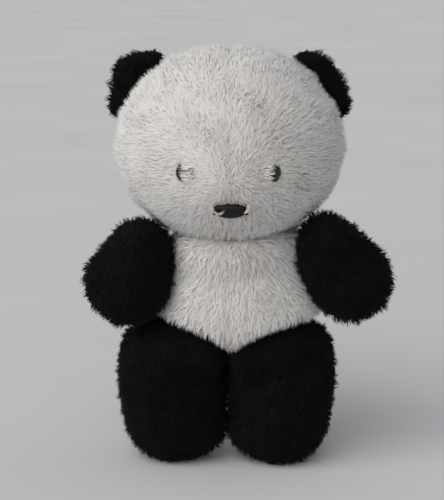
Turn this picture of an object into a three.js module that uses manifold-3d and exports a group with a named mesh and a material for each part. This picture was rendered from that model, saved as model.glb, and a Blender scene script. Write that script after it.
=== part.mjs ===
// A plush panda, 10 inches tall, as it is cut, sewn and stuffed: white long-pile covers on the head and
// torso, black curly covers on the ears, arms and legs, a filling inside each, and a plastic nose and eyes.
//
// Millimetres, +Z up, soles on Z = 0, face towards -Y. Left and right are the panda's own, so its left is +X.
// The covers' outer faces lie at the middle of the pile, about 2 mm under the tips of the fibres.
//
// The limbs, the head and the ears move about real pivots. A limb's root is round about its own pivot and
// sits in a hollow of the torso, and the torso is cut clear of everything the limb sweeps through.

import * as THREE from "three";
import { ConvexGeometry } from "three/addons/geometries/ConvexGeometry.js";
import { mergeVertices } from "three/addons/utils/BufferGeometryUtils.js";
import Module from "manifold-3d";

const wasm = await Module();
wasm.setup();

// ---------------------------------------------------------------- driving sizes

const cover = 5; // knitted backing with its pile pressed down
const seamGap = 0.3; // between two sewn panels, and between a cover and its filling
const jointGap = 0.8; // between pieces that move against each other
const facets = 14; // flats round a limb
const bodyFacets = 18; // flats round the torso and the head
const sweepFacets = 10; // flats round the rougher solids that the torso is cut clear with
const sweepGap = 2; // how much fuller those are than the limb, so that none of it shows through them

const head = { seamX: 1, width: 133, depth: 112, height: 113, centreZ: 194.5, earSeamY: 9 };
const muzzle = { bulge: 6, reach: 25, x: 1, drop: 27 };
const neck = { x: 3, z: 141, ball: 16, threadRing: 23, threadZ: 140, thread: 0.6 };
const torso = {
  x: 6.5,
  seamX: 1,
  halfWidth: 53,
  depthShare: 0.7,
  bottomZ: 68,
  vee: 25,
  rise: 11.5,
  hipZ: 93,
  topZ: 153,
};
const arm = { pivotY: -7, pivotZ: 136, root: 13.5, upper: 22, hand: 25.5, reach: 26, depthShare: 0.84 };
const leg = { pivotZ: 58, halfWidth: 31.8, hip: 28, crotch: 13, foot: 31, footZ: 28, depthShare: 0.9 };
const ear = { halfChord: 21.5, height: 9.6, angle: 33, edge: 4, middle: 2 };
const eye = { middle: -0.8, x: 24.2, z: 185.2, radius: 6, dome: 3.2, rim: 1, sunk: 4 };
const nose = { x: 0.4, z: 164, width: 20, height: 9.5, dome: 2, slab: 2, sunk: 3.4 };
const stem = { radius: 1.8, length: 8, clearance: 0.3 };
const washer = { radius: 6.5, thickness: 1.5 };
const closing = { topZ: 118, bottomZ: 90, thread: 0.7, stitches: 5, swing: 1.6 };

// How the panda stands, in millimetres and degrees. It is sewn by hand, so its two sides differ a little:
// each arm hangs out from the side and somewhat forward, and one foot is a little ahead of the other.
const rest = {
  right: { side: -1, armX: -50, armOut: 21, armForward: 30, legX: -34, legForward: -3, legOut: 0 },
  left: { side: 1, armX: 56.5, armOut: 36, armForward: 18, legX: 31, legForward: 4, legOut: 0 },
};

// How far each joint goes from rest, in degrees. The torso is cut clear of these sweeps.
const headTurn = [-20, 20];
const headTilt = [-3, 3];
const headNod = [-6, 6];
const armSwing = [-15, 30];
const armRaise = [0, 35];
const legSwing = [-15, 50];
const legSpread = [0, 5];

// ---------------------------------------------------------------- materials

const cloth = (color) => new THREE.MeshStandardMaterial({ color, roughness: 0.95, metalness: 0 });
const whitePile = cloth(0xe9e6e0);
const blackPile = cloth(0x131213);
const filling = cloth(0xf4f3ee);
const threadWhite = new THREE.MeshStandardMaterial({ color: 0xe2ddd2, roughness: 0.7, metalness: 0 });
const blackPlastic = new THREE.MeshStandardMaterial({ color: 0x0b0a0a, roughness: 0.22, metalness: 0 });
const mattePlastic = new THREE.MeshStandardMaterial({ color: 0x1a1818, roughness: 0.6, metalness: 0 });
const washerPlastic = new THREE.MeshStandardMaterial({ color: 0xf0efe8, roughness: 0.5, metalness: 0 });

// ---------------------------------------------------------------- small tools

const degrees = THREE.MathUtils.degToRad;
const xAxis = new THREE.Vector3(1, 0, 0);
const yAxis = new THREE.Vector3(0, 1, 0);
const zAxis = new THREE.Vector3(0, 0, 1);

// A closed geometry as a manifold-3d solid.
function solidOf(geometry) {
  const bare = geometry.clone();
  bare.deleteAttribute("normal");
  bare.deleteAttribute("uv");
  const merged = mergeVertices(bare, 1e-4);
  return new wasm.Manifold(
    new wasm.Mesh({
      numProp: 3,
      vertProperties: new Float32Array(merged.attributes.position.array),
      triVerts: new Uint32Array(merged.index.array),
    }),
  );
}

// A manifold-3d solid as a geometry.
function geometryOf(solid) {
  const mesh = solid.getMesh();
  const geometry = new THREE.BufferGeometry();
  geometry.setAttribute("position", new THREE.BufferAttribute(new Float32Array(mesh.vertProperties), 3));
  geometry.setIndex(new THREE.BufferAttribute(new Uint32Array(mesh.triVerts), 1));
  geometry.computeVertexNormals();
  return geometry;
}

function cut(solid, ...tools) {
  return tools.flat().reduce((left, tool) => left.subtract(tool), solid);
}

function moved(solid, matrix) {
  return solid.transform(matrix.elements);
}

function turn(axis, angle) {
  return new THREE.Matrix4().makeRotationAxis(axis, degrees(angle));
}

function shift(x, y, z) {
  return new THREE.Matrix4().makeTranslation(x, y, z);
}

// A box wide enough to hold one side of any piece: everything with low <= x, y, z <= high.
const far = 400;
function slab(low, high) {
  const size = low.map((value, i) => high[i] - value);
  const box = new THREE.BoxGeometry(...size);
  box.translate(...low.map((value, i) => value + size[i] / 2));
  return solidOf(box);
}

const halfGap = seamGap / 2;
const behind = (y) => slab([-far, y + halfGap, -far], [far, far, far]);
const before = (y) => slab([-far, -far, -far], [far, y - halfGap, far]);
const leftOf = (x) => slab([x + halfGap, -far, -far], [far, far, far]);
const rightOf = (x) => slab([-far, -far, -far], [x - halfGap, far, far]);
const above = (z) => slab([-far, -far, z], [far, far, far]);

function ball(radius, across = 14, up = 10) {
  return solidOf(new THREE.SphereGeometry(radius, across, up));
}

// A turned solid. The profile runs [radius, height] from the bottom to the top, and the axis is Z.
function turned(profile, segments) {
  const geometry = new THREE.LatheGeometry(
    profile.map(([radius, height]) => new THREE.Vector2(radius, height)),
    segments,
  );
  geometry.rotateX(Math.PI / 2);
  return geometry;
}

// Moves each corner of a geometry by a function of its place.
function reshape(geometry, change) {
  const place = geometry.attributes.position;
  const point = new THREE.Vector3();
  for (let i = 0; i < place.count; i++) {
    point.fromBufferAttribute(place, i);
    change(point);
    place.setXYZ(i, point.x, point.y, point.z);
  }
  return geometry;
}

// The hull of one solid carried to several places, which is what it sweeps through between them.
function sweep(solid, matrices) {
  const corners = solid.getMesh().vertProperties;
  const points = matrices.flatMap((matrix) => {
    const carried = [];
    for (let i = 0; i < corners.length; i += 3)
      carried.push(new THREE.Vector3().fromArray(corners, i).applyMatrix4(matrix));
    return carried;
  });
  return solidOf(new ConvexGeometry(points));
}

function named(name, solid, material) {
  const mesh = new THREE.Mesh(geometryOf(solid), material);
  mesh.name = name;
  return mesh;
}

// ---------------------------------------------------------------- head

// The head as one solid, its outer face moved in by inset: an ellipsoid with a low muzzle on its front.
function headForm(inset, round = bodyFacets) {
  const form = new THREE.SphereGeometry(1, round, Math.round((round * 2) / 3));
  form.rotateX(Math.PI / 2);
  return reshape(form, (point) => {
    const out = point.clone();
    const sideways = out.x * (head.width / 2) - muzzle.x;
    const upwards = out.z * (head.height / 2) + muzzle.drop;
    const nearness = Math.exp(-(sideways ** 2 + upwards ** 2) / (2 * muzzle.reach ** 2));
    point.x = out.x * (head.width / 2 - inset);
    point.z = out.z * (head.height / 2 - inset) + head.centreZ;
    point.y = out.y * (head.depth / 2 - inset);
    if (out.y < 0) point.y -= muzzle.bulge * nearness * Math.min(1, -out.y * 2);
  });
}

// The places the neck takes the head to. Its nod carries its tilt, and its tilt carries its turn.
function headPlaces() {
  return headNod.flatMap((pitch) =>
    headTilt.flatMap((roll) =>
      [headTurn[0], 0, headTurn[1]].map((yaw) =>
        shift(neck.x, 0, neck.z)
          .multiply(turn(xAxis, pitch))
          .multiply(turn(yAxis, roll))
          .multiply(turn(zAxis, yaw))
          .multiply(shift(-neck.x, 0, -neck.z)),
      ),
    ),
  );
}

// Where a line through (x, z) along Y first meets the front of the head, and the face's normal there.
function faceAt(x, z) {
  const front = new THREE.Mesh(headForm(0));
  const ray = new THREE.Raycaster(new THREE.Vector3(x, -far, z), yAxis);
  const hit = ray.intersectObject(front)[0];
  const a = head.width / 2;
  const b = head.depth / 2;
  const c = head.height / 2;
  const dz = z - head.centreZ;
  const y = -b * Math.sqrt(1 - (x / a) ** 2 - (dz / c) ** 2);
  const normal = new THREE.Vector3(x / a ** 2, y / b ** 2, dz / c ** 2).normalize();
  return { point: hit.point, normal };
}

// A matrix that sets a piece made along +Z onto the face, its zero `sunk` below the surface.
function onFace(place, sunk) {
  const outwards = place.normal;
  const across = new THREE.Vector3().crossVectors(zAxis, outwards).normalize();
  const upwards = new THREE.Vector3().crossVectors(outwards, across);
  const seat = place.point.clone().addScaledVector(outwards, -sunk);
  return new THREE.Matrix4().makeBasis(across, upwards, outwards).setPosition(seat);
}

function eyeButton(grow) {
  const wide = eye.radius + grow;
  const deep = -grow;
  const profile = [
    [0, -stem.length],
    [stem.radius + grow, -stem.length],
    [stem.radius + grow, deep],
    [wide, deep],
    [wide, eye.rim],
  ];
  for (let step = 1; step <= 4; step++) {
    const angle = (step / 4) * (Math.PI / 2);
    profile.push([step === 4 ? 0 : wide * Math.cos(angle), eye.rim + (eye.dome + grow) * Math.sin(angle)]);
  }
  return solidOf(turned(profile, 14));
}

// A half-round with a nearly flat top and soft corners, and a domed face.
function noseButton(grow) {
  const edge = nose.dome;
  const halfWidth = nose.width / 2 - edge + grow;
  const top = nose.height / 2 - edge + grow;
  const outline = new THREE.Shape();
  outline.moveTo(-halfWidth, top * 0.6);
  outline.quadraticCurveTo(-halfWidth * 0.9, top, 0, top);
  outline.quadraticCurveTo(halfWidth * 0.9, top, halfWidth, top * 0.6);
  outline.bezierCurveTo(halfWidth, -top * 0.5, halfWidth * 0.5, -top, 0, -top);
  outline.bezierCurveTo(-halfWidth * 0.5, -top, -halfWidth, -top * 0.5, -halfWidth, top * 0.6);
  const slabShape = new THREE.ExtrudeGeometry(outline, {
    depth: nose.slab + grow,
    bevelEnabled: true,
    bevelSize: edge,
    bevelThickness: nose.dome,
    bevelSegments: 2,
    curveSegments: 4,
  });
  slabShape.translate(0, 0, nose.dome - grow);
  const shank = new THREE.CylinderGeometry(stem.radius + grow, stem.radius + grow, stem.length + 1, 12);
  shank.rotateX(Math.PI / 2);
  shank.translate(0, 0, (1 - stem.length) / 2);
  return solidOf(slabShape).add(solidOf(shank));
}

// A push-on washer that holds a stem from inside the cover.
function lockWasher(grow) {
  const hole = stem.radius + stem.clearance - grow;
  const profile = [
    [hole, -grow],
    [washer.radius + grow, -grow],
    [washer.radius + grow, washer.thickness + grow],
    [hole, washer.thickness + grow],
    [hole, -grow],
  ];
  return solidOf(turned(profile, 14));
}

function buildHead() {
  const group = new THREE.Group();
  const socket = moved(ball(neck.ball + jointGap, 16, 12), shift(neck.x, 0, neck.z));
  const outer = solidOf(headForm(0));
  const shell = cut(outer, solidOf(headForm(cover)), socket, neckRing(jointGap));
  const eyeAt = (name, x) => ({
    name,
    place: faceAt(x, eye.z),
    sunk: eye.sunk,
    make: eyeButton,
    material: blackPlastic,
  });
  const buttons = [
    eyeAt("eye_right", eye.middle - eye.x),
    eyeAt("eye_left", eye.middle + eye.x),
    {
      name: "nose",
      place: faceAt(nose.x, nose.z),
      sunk: nose.sunk,
      make: noseButton,
      material: mattePlastic,
    },
  ];
  const pockets = [];
  for (const { name, place, sunk, make, material } of buttons) {
    const seat = onFace(place, sunk);
    const washerSeat = onFace(place, cover + washer.thickness + 2 * seamGap);
    const button = new THREE.Mesh(geometryOf(make(0)), material);
    button.name = name;
    button.applyMatrix4(seat);
    const lock = new THREE.Mesh(geometryOf(lockWasher(0)), washerPlastic);
    lock.name = `${name}_washer`;
    lock.applyMatrix4(washerSeat);
    group.add(button, lock);
    pockets.push(moved(make(seamGap), seat), moved(lockWasher(seamGap), washerSeat));
  }
  const face = cut(shell.intersect(before(head.earSeamY)), pockets);
  group.add(
    named("face_right_panel", face.intersect(rightOf(head.seamX)), whitePile),
    named("face_left_panel", face.intersect(leftOf(head.seamX)), whitePile),
    named("head_back_panel", shell.intersect(behind(head.earSeamY)), whitePile),
    named("head_stuffing", cut(solidOf(headForm(cover + seamGap)), socket, pockets), filling),
  );
  return group;
}

// ---------------------------------------------------------------- ears

// A half-round pad that stands on the head's side: its foot is hollowed to the head's own curve.
function earPad() {
  const headRadius = head.width / 2;
  const foot = headRadius + seamGap + ear.edge;
  const drop = foot - Math.sqrt(foot ** 2 - ear.halfChord ** 2);
  const outline = new THREE.Shape();
  outline.absellipse(0, -drop, ear.halfChord, ear.height + drop - ear.edge, 0, Math.PI, false);
  const reach = Math.asin(ear.halfChord / foot);
  outline.absarc(0, -foot, foot, Math.PI / 2 + reach, Math.PI / 2 - reach, true);
  const pad = new THREE.ExtrudeGeometry(outline, {
    depth: ear.middle,
    bevelEnabled: true,
    bevelSize: ear.edge,
    bevelThickness: ear.edge,
    bevelSegments: 2,
    curveSegments: 7,
  });
  pad.translate(0, 0, -ear.middle / 2);
  return solidOf(pad);
}

function buildEar(name, side) {
  const group = new THREE.Group();
  const angle = degrees(ear.angle);
  const a = head.width / 2;
  const c = head.height / 2;
  const depthShare = Math.sqrt(1 - (head.earSeamY / (head.depth / 2)) ** 2);
  const radius = depthShare / Math.hypot(Math.cos(angle) / a, Math.sin(angle) / c);
  const stand = radius + seamGap + ear.edge + 2 * jointGap;
  group.position.set(side * stand * Math.cos(angle), head.earSeamY, head.centreZ + stand * Math.sin(angle));
  // The pad is drawn in X and Y, with its thickness along Z: stand it up, then lean it out over the seam.
  group.applyQuaternion(
    new THREE.Quaternion()
      .setFromAxisAngle(yAxis, side * (Math.PI / 2 - angle))
      .multiply(new THREE.Quaternion().setFromAxisAngle(xAxis, Math.PI / 2)),
  );
  group.updateMatrix();
  const headRoom = moved(solidOf(headForm(-2 * jointGap)), group.matrix.clone().invert());
  const pad = cut(earPad(), headRoom);
  group.add(
    named(`${name}_front_panel`, pad.intersect(slab([-far, -far, halfGap], [far, far, far])), blackPile),
    named(`${name}_back_panel`, pad.intersect(slab([-far, -far, -far], [far, far, -halfGap])), blackPile),
  );
  return group;
}

// ---------------------------------------------------------------- arms and legs

// The arm hangs down -Z from a round root at the origin, so that it can turn in any direction. The upper
// arm and the hand are flatter from front to back than they are wide, and the cover is drawn over all three.
function armForm(inset, round = facets) {
  const balls = [
    { radius: arm.root, at: 0, depth: 1 },
    { radius: arm.upper, at: arm.reach * 0.42, depth: arm.depthShare },
    { radius: arm.hand, at: arm.reach, depth: arm.depthShare },
  ];
  const solids = balls.map(({ radius, at, depth }) => {
    const form = new THREE.SphereGeometry(radius - inset, round, Math.round(round * 0.6));
    form.rotateX(Math.PI / 2);
    form.scale(1, depth, 1);
    form.translate(0, 0, -at);
    return solidOf(form);
  });
  return sweep(solids.reduce((sum, solid) => sum.add(solid)), [new THREE.Matrix4()]);
}

// The hip as a barrel that lies along X, so that the leg can swing without changing its outline. It is
// fuller on the outside than at the crotch, which gives the white belly its pointed lower edge.
function hipForm(side, inset, round) {
  const outline = [
    [0, -1],
    [leg.crotch * 0.75, -1],
    [leg.crotch, -0.93],
    [leg.hip * 0.72, -0.5],
    [leg.hip * 0.93, 0.02],
    [leg.hip, 0.45],
    [leg.hip * 0.94, 0.76],
    [leg.hip * 0.72, 0.95],
    [leg.hip * 0.36, 1],
    [0, 1],
  ];
  const profile = outline.map(([radius, across]) => [
    radius * (1 - inset / leg.hip),
    across * (leg.halfWidth - inset),
  ]);
  const form = turned(profile, round);
  form.rotateY((side * Math.PI) / 2);
  return solidOf(form);
}

// The leg is the barrel of the hip and the ball of the foot with the cover drawn smooth over both.
function legForm(side, inset, round = facets) {
  const foot = new THREE.SphereGeometry(leg.foot - inset, round, Math.round(round * 0.6));
  foot.rotateX(Math.PI / 2);
  foot.scale(1, leg.depthShare, 1);
  foot.translate(0, 0, leg.footZ - leg.pivotZ);
  return sweep(hipForm(side, inset, round).add(solidOf(foot)), [new THREE.Matrix4()]);
}

// The places that two joints take a limb to: each stop of the swing with both ends of the other joint.
function stops([low, high], others, count) {
  const step = (high - low) / (count - 1);
  const swings = Array.from({ length: count }, (_, i) => low + step * i);
  return swings.flatMap((swing) => others.map((other) => [swing, other]));
}

function shoulder(pose) {
  return new THREE.Vector3(pose.armX, arm.pivotY, arm.pivotZ);
}

function hipJoint(pose) {
  return new THREE.Vector3(pose.legX, 0, leg.pivotZ);
}

function armRest(pose) {
  return turn(xAxis, -pose.armForward).multiply(turn(yAxis, -pose.side * pose.armOut));
}

function legRest(pose) {
  return turn(xAxis, -pose.legForward).multiply(turn(yAxis, -pose.side * pose.legOut));
}

// Where a limb stands when its joints are moved, as the record's joints move it: the swing about X
// carries the second joint, about Y, with it. A positive angle swings forward or lifts outwards.
function jointed(pivot, pose, restTurn, [swing, other]) {
  return shift(pivot.x, pivot.y, pivot.z)
    .multiply(turn(xAxis, -swing))
    .multiply(turn(yAxis, -pose.side * other))
    .multiply(restTurn);
}

function armSweep(pose) {
  const place = (at) => jointed(shoulder(pose), pose, armRest(pose), at);
  return sweep(armForm(-sweepGap, sweepFacets), stops(armSwing, armRaise, 4).map(place));
}

// The leg is swept backwards and forwards of the middle of its swing, in two solids, because one hull
// would take in too much.
function legSweep(pose) {
  const places = (swings) =>
    stops(swings, legSpread, 2).map((at) => jointed(hipJoint(pose), pose, legRest(pose), at));
  const middle = (legSwing[0] + legSwing[1]) / 2;
  const form = legForm(pose.side, -sweepGap, sweepFacets);
  return [sweep(form, places([legSwing[0], middle])), sweep(form, places([middle, legSwing[1]]))];
}

// A limb's cover in two panels sewn round its outline, its filling, and the loose wadding in its root
// that lets it swing. The wadding is the ball that both of the limb's joints turn about.
function buildLimb(name, form, wadding, pivot, restTurn, keep) {
  const group = new THREE.Group();
  group.position.copy(pivot);
  const place = shift(pivot.x, pivot.y, pivot.z).multiply(restTurn);
  const back = place.clone().invert();
  const trimmed = (solid) => moved(moved(solid, place).intersect(keep), back);
  const shell = trimmed(cut(form(0), form(cover)));
  const fill = cut(form(cover + seamGap), ball(wadding + jointGap), above(-wadding / 3));
  const quaternion = new THREE.Quaternion().setFromRotationMatrix(restTurn);
  const turnedGroup = new THREE.Group();
  turnedGroup.quaternion.copy(quaternion);
  turnedGroup.add(
    named(`${name}_front_panel`, shell.intersect(before(0)), blackPile),
    named(`${name}_back_panel`, shell.intersect(behind(0)), blackPile),
    named(`${name}_stuffing`, fill, filling),
    named(`${name}_root_wadding`, ball(wadding), filling),
  );
  group.add(turnedGroup);
  return group;
}

function buildArm(name, pose) {
  const wadding = arm.root - cover - 2 * seamGap;
  const everywhere = above(-far);
  return buildLimb(name, armForm, wadding, shoulder(pose), armRest(pose), everywhere);
}

// The foot is pressed flat where the panda stands on it.
function buildLeg(name, pose) {
  const wadding = leg.hip / 2;
  const form = (inset) => legForm(pose.side, inset);
  return buildLimb(name, form, wadding, hipJoint(pose), legRest(pose), above(0));
}

// ---------------------------------------------------------------- torso and neck

function neckRing(grow) {
  const ring = new THREE.TorusGeometry(neck.threadRing, neck.thread + grow, 5, 20);
  ring.translate(neck.x, 0, neck.threadZ);
  return solidOf(ring);
}

// A pear shape, widest just above the hips, whose top the head settles into.
function torsoForm(inset) {
  const wide = torso.halfWidth;
  const rise = torso.topZ - torso.hipZ;
  const shape = new THREE.SplineCurve([
    new THREE.Vector2(0.0, torso.bottomZ),
    new THREE.Vector2(wide * 0.5, torso.bottomZ + 5),
    new THREE.Vector2(wide * 0.86, torso.bottomZ + 14),
    new THREE.Vector2(wide, torso.hipZ),
    new THREE.Vector2(wide * 0.89, torso.hipZ + rise * 0.28),
    new THREE.Vector2(wide * 0.78, torso.hipZ + rise * 0.58),
    new THREE.Vector2(wide * 0.7, torso.hipZ + rise * 0.85),
    new THREE.Vector2(wide * 0.4, torso.topZ - 1.5),
    new THREE.Vector2(0.0, torso.topZ),
  ]);
  const points = shape.getPoints(14);
  const middleZ = (torso.bottomZ + torso.topZ) / 2;
  const tall = (torso.topZ - torso.bottomZ) / 2;
  const profile = points.map((point, i) => [
    i % (points.length - 1) === 0 ? 0 : Math.max(1, point.x * (1 - inset / wide)),
    middleZ + (point.y - middleZ) * (1 - inset / tall),
  ]);
  const form = turned(profile, bodyFacets);
  const depth = (torso.depthShare * wide - inset) / (wide - inset);
  form.scale(1, depth, 1);
  form.translate(torso.x, 0, 0);
  return form;
}

// The lower edge of the torso is a vee that points down between the legs and rises towards the front.
function torsoSolid(inset) {
  const edge = (angle) => {
    const place = shift(torso.seamX, 0, torso.bottomZ + inset)
      .multiply(turn(xAxis, -torso.rise))
      .multiply(turn(yAxis, angle));
    return moved(above(0), place);
  };
  return solidOf(torsoForm(inset)).intersect(edge(-torso.vee)).intersect(edge(torso.vee));
}

// A thread that zigzags up the middle of the back and closes the opening that the filling went in by.
function closingThread(radius) {
  const back = new THREE.Mesh(torsoForm(0));
  const points = [];
  const count = closing.stitches * 2;
  for (let i = 0; i <= count; i++) {
    const z = closing.bottomZ + ((closing.topZ - closing.bottomZ) * i) / count;
    const x = torso.seamX + (i % 2 === 0 ? -closing.swing : closing.swing);
    const ray = new THREE.Raycaster(new THREE.Vector3(x, far, z), yAxis.clone().negate());
    const hit = ray.intersectObject(back)[0];
    points.push(hit.point.clone().setY(hit.point.y - closing.thread));
  }
  const section = new THREE.Shape().absarc(0, 0, radius, 0, Math.PI * 2);
  return solidOf(
    new THREE.ExtrudeGeometry(section, {
      steps: count * 3,
      curveSegments: 3,
      extrudePath: new THREE.CatmullRomCurve3(points),
    }),
  );
}

function buildTorso() {
  const group = new THREE.Group();
  const socket = moved(ball(neck.ball + jointGap, 16, 12), shift(neck.x, 0, neck.z));
  const poses = [rest.right, rest.left];
  const headRoom = sweep(solidOf(headForm(-sweepGap, sweepFacets + 2)), headPlaces());
  const threadRoom = sweep(neckRing(jointGap), headPlaces());
  const clear = [socket, headRoom, threadRoom, ...poses.map(armSweep), ...poses.flatMap(legSweep)];
  const shell = cut(torsoSolid(0), torsoSolid(cover));
  const open = cut(shell, clear, closingThread(closing.thread + seamGap));
  const front = open.intersect(before(0));
  const rear = open.intersect(behind(0));
  group.add(
    named("chest_right_panel", front.intersect(rightOf(torso.seamX)), whitePile),
    named("chest_left_panel", front.intersect(leftOf(torso.seamX)), whitePile),
    named("back_right_panel", rear.intersect(rightOf(torso.seamX)), whitePile),
    named("back_left_panel", rear.intersect(leftOf(torso.seamX)), whitePile),
    named("torso_stuffing", cut(torsoSolid(cover + seamGap), clear), filling),
    named("back_closing_thread", closingThread(closing.thread), threadWhite),
  );
  return group;
}

// The neck: a ring of thread gathers the head's cover, and a ball of wadding carries the head.
function buildNeck() {
  const group = new THREE.Group();
  const thread = named("neck_seam_thread", neckRing(0), threadWhite);
  const wadding = named("neck_wadding", ball(neck.ball, 16, 12), filling);
  wadding.position.set(neck.x, 0, neck.z);
  group.add(thread, wadding);
  return group;
}

// ---------------------------------------------------------------- the whole panda

const panda = new THREE.Group();
panda.add(
  buildHead(),
  buildEar("ear_right", -1),
  buildEar("ear_left", 1),
  buildTorso(),
  buildNeck(),
  buildArm("arm_right", rest.right),
  buildArm("arm_left", rest.left),
  buildLeg("leg_right", rest.right),
  buildLeg("leg_left", rest.left),
);

// The origin is the middle of the panda's outline, on the floor.
const bounds = new THREE.Box3().setFromObject(panda, true);
const middle = bounds.getCenter(new THREE.Vector3());
panda.position.set(-middle.x, -middle.y, -bounds.min.z);

const root = new THREE.Group();
root.add(panda);

export default root;
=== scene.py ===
import logging
import math
from collections.abc import Callable
from dataclasses import dataclass, field, replace
from enum import Enum

import bmesh
import bpy
import numpy as np
from mathutils import Matrix, Vector, kdtree
from mathutils.bvhtree import BVHTree


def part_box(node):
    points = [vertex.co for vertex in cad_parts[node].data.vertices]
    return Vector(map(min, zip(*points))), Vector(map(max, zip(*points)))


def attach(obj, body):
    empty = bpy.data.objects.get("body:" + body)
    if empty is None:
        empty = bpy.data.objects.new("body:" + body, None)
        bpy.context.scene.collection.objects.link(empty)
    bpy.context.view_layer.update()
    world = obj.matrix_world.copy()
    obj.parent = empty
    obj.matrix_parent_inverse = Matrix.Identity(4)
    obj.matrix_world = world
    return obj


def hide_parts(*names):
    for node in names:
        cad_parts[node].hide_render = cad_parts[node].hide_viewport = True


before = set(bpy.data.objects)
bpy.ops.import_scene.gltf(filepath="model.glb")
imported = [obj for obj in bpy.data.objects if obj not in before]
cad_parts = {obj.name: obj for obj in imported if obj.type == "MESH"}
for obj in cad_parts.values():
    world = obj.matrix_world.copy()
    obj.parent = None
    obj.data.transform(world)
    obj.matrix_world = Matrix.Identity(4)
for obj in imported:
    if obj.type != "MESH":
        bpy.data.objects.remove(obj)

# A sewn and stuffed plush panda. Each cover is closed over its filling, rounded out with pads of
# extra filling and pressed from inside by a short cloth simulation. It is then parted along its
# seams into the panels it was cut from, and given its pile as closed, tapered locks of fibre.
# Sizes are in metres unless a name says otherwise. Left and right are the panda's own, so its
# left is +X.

log = logging.getLogger("panda")

MM = 0.001

# Each pile piece's UV map: across is a lock's tone, and up is from the lock's root to its tip.
UV_NAME = "OFBake"
TONE_LIMITS = (0.02, 0.96)
TONE_SPREAD = 0.13
TONE_STRIP = 0.015
ROOT_EDGE = 0.03
LOCK_SPAN = 0.96

# How locks differ from one another and stand in the cloth.
LOCK_LENGTHS = (0.78, 1.18)
LOCK_WIDTHS = (0.7, 1.25)
LOCK_TAPER = 0.55
ROOT_DEPTH = 0.4 * MM
STRONGEST_NAP = 1.6
MOST_LEAN = 1.5

BACKING_THICKNESS = 1.0 * MM
FACING_Z = 0.95
SHARP_EDGE = math.radians(40)

Array = np.ndarray
Field = Callable[[Array], Array]


# ---------------------------------------------------------------- small tools


def linear(code: str) -> tuple[float, float, float, float]:
    """Turn an sRGB hex colour into linear light.

    Args:
        code: Six hex digits, with or without a leading hash.

    Returns:
        Red, green, blue and an alpha of 1.
    """
    digits = code.lstrip("#")
    parts = [int(digits[i : i + 2], 16) / 255 for i in (0, 2, 4)]
    turned = [c / 12.92 if c <= 0.04045 else ((c + 0.055) / 1.055) ** 2.4 for c in parts]
    return (*turned, 1.0)


def unit(vectors: Array) -> Array:
    """Scale each row to length 1."""
    return vectors / np.maximum(np.linalg.norm(vectors, axis=-1, keepdims=True), 1e-12)


def smoothstep(low: float, high: float, values: Array) -> Array:
    """Ease from 0 at low to 1 at high."""
    share = np.clip((values - low) / (high - low), 0, 1)
    return share * share * (3 - 2 * share)


def ripple(points: Array, scale: float, seed: int, waves: int = 7) -> Array:
    """Give a smooth pseudo-random value at each point.

    Args:
        points: Places, one a row.
        scale: The typical distance between a high and the next one.
        seed: Which pattern.
        waves: How many plane waves are summed.

    Returns:
        One value a point, mostly between -1 and 1.
    """
    draw = np.random.default_rng(seed)
    ways = unit(draw.normal(size=(waves, 3))) * draw.uniform(0.6, 1.5, (waves, 1))
    phases = draw.uniform(0, 2 * math.pi, waves)
    return np.sin(points @ ways.T * (2 * math.pi / scale) + phases).sum(1) / math.sqrt(waves)


def set_inputs(node: bpy.types.Node, values: dict[str | int, object]) -> None:
    """Set a node's inputs.

    Args:
        node: The node.
        values: By socket name or index, a value, or an output socket to link from.
    """
    for name, value in values.items():
        if isinstance(value, bpy.types.NodeSocket):
            node.id_data.links.new(value, node.inputs[name])
        else:
            node.inputs[name].default_value = value


def add_node(
    tree: bpy.types.NodeTree,
    kind: str,
    settings: dict[str, object] | None = None,
    inputs: dict[str | int, object] | None = None,
) -> bpy.types.Node:
    """Add a node with its settings and its inputs.

    Args:
        tree: The node tree it joins.
        kind: The node's type, such as "ShaderNodeTexNoise".
        settings: Its properties by name.
        inputs: By socket name or index, a value, or an output socket to link from.

    Returns:
        The new node.
    """
    node = tree.nodes.new(kind)
    for name, value in (settings or {}).items():
        setattr(node, name, value)
    set_inputs(node, inputs or {})
    return node


def add_ramp(
    tree: bpy.types.NodeTree, source: bpy.types.NodeSocket, stops: list[tuple[float, str]]
) -> bpy.types.NodeSocket:
    """Map a value to colours.

    Args:
        tree: The node tree.
        source: The value.
        stops: Each stop's place from 0 to 1 and its hex colour.

    Returns:
        The colour output.
    """
    node = add_node(tree, "ShaderNodeValToRGB", inputs={"Fac": source})
    marks = node.color_ramp.elements
    while len(marks) < len(stops):
        marks.new(0.5)
    for mark, (place, code) in zip(marks, stops):
        mark.position = place
        mark.color = linear(code)
    return node.outputs["Color"]


def new_material(name: str) -> tuple[bpy.types.Material, bpy.types.NodeTree, bpy.types.Node]:
    """Start a node material.

    Returns:
        The material, its tree and its shader node.
    """
    material = bpy.data.materials.new(name)
    material.use_nodes = True
    return material, material.node_tree, material.node_tree.nodes["Principled BSDF"]


# ---------------------------------------------------------------- finishes


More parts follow.
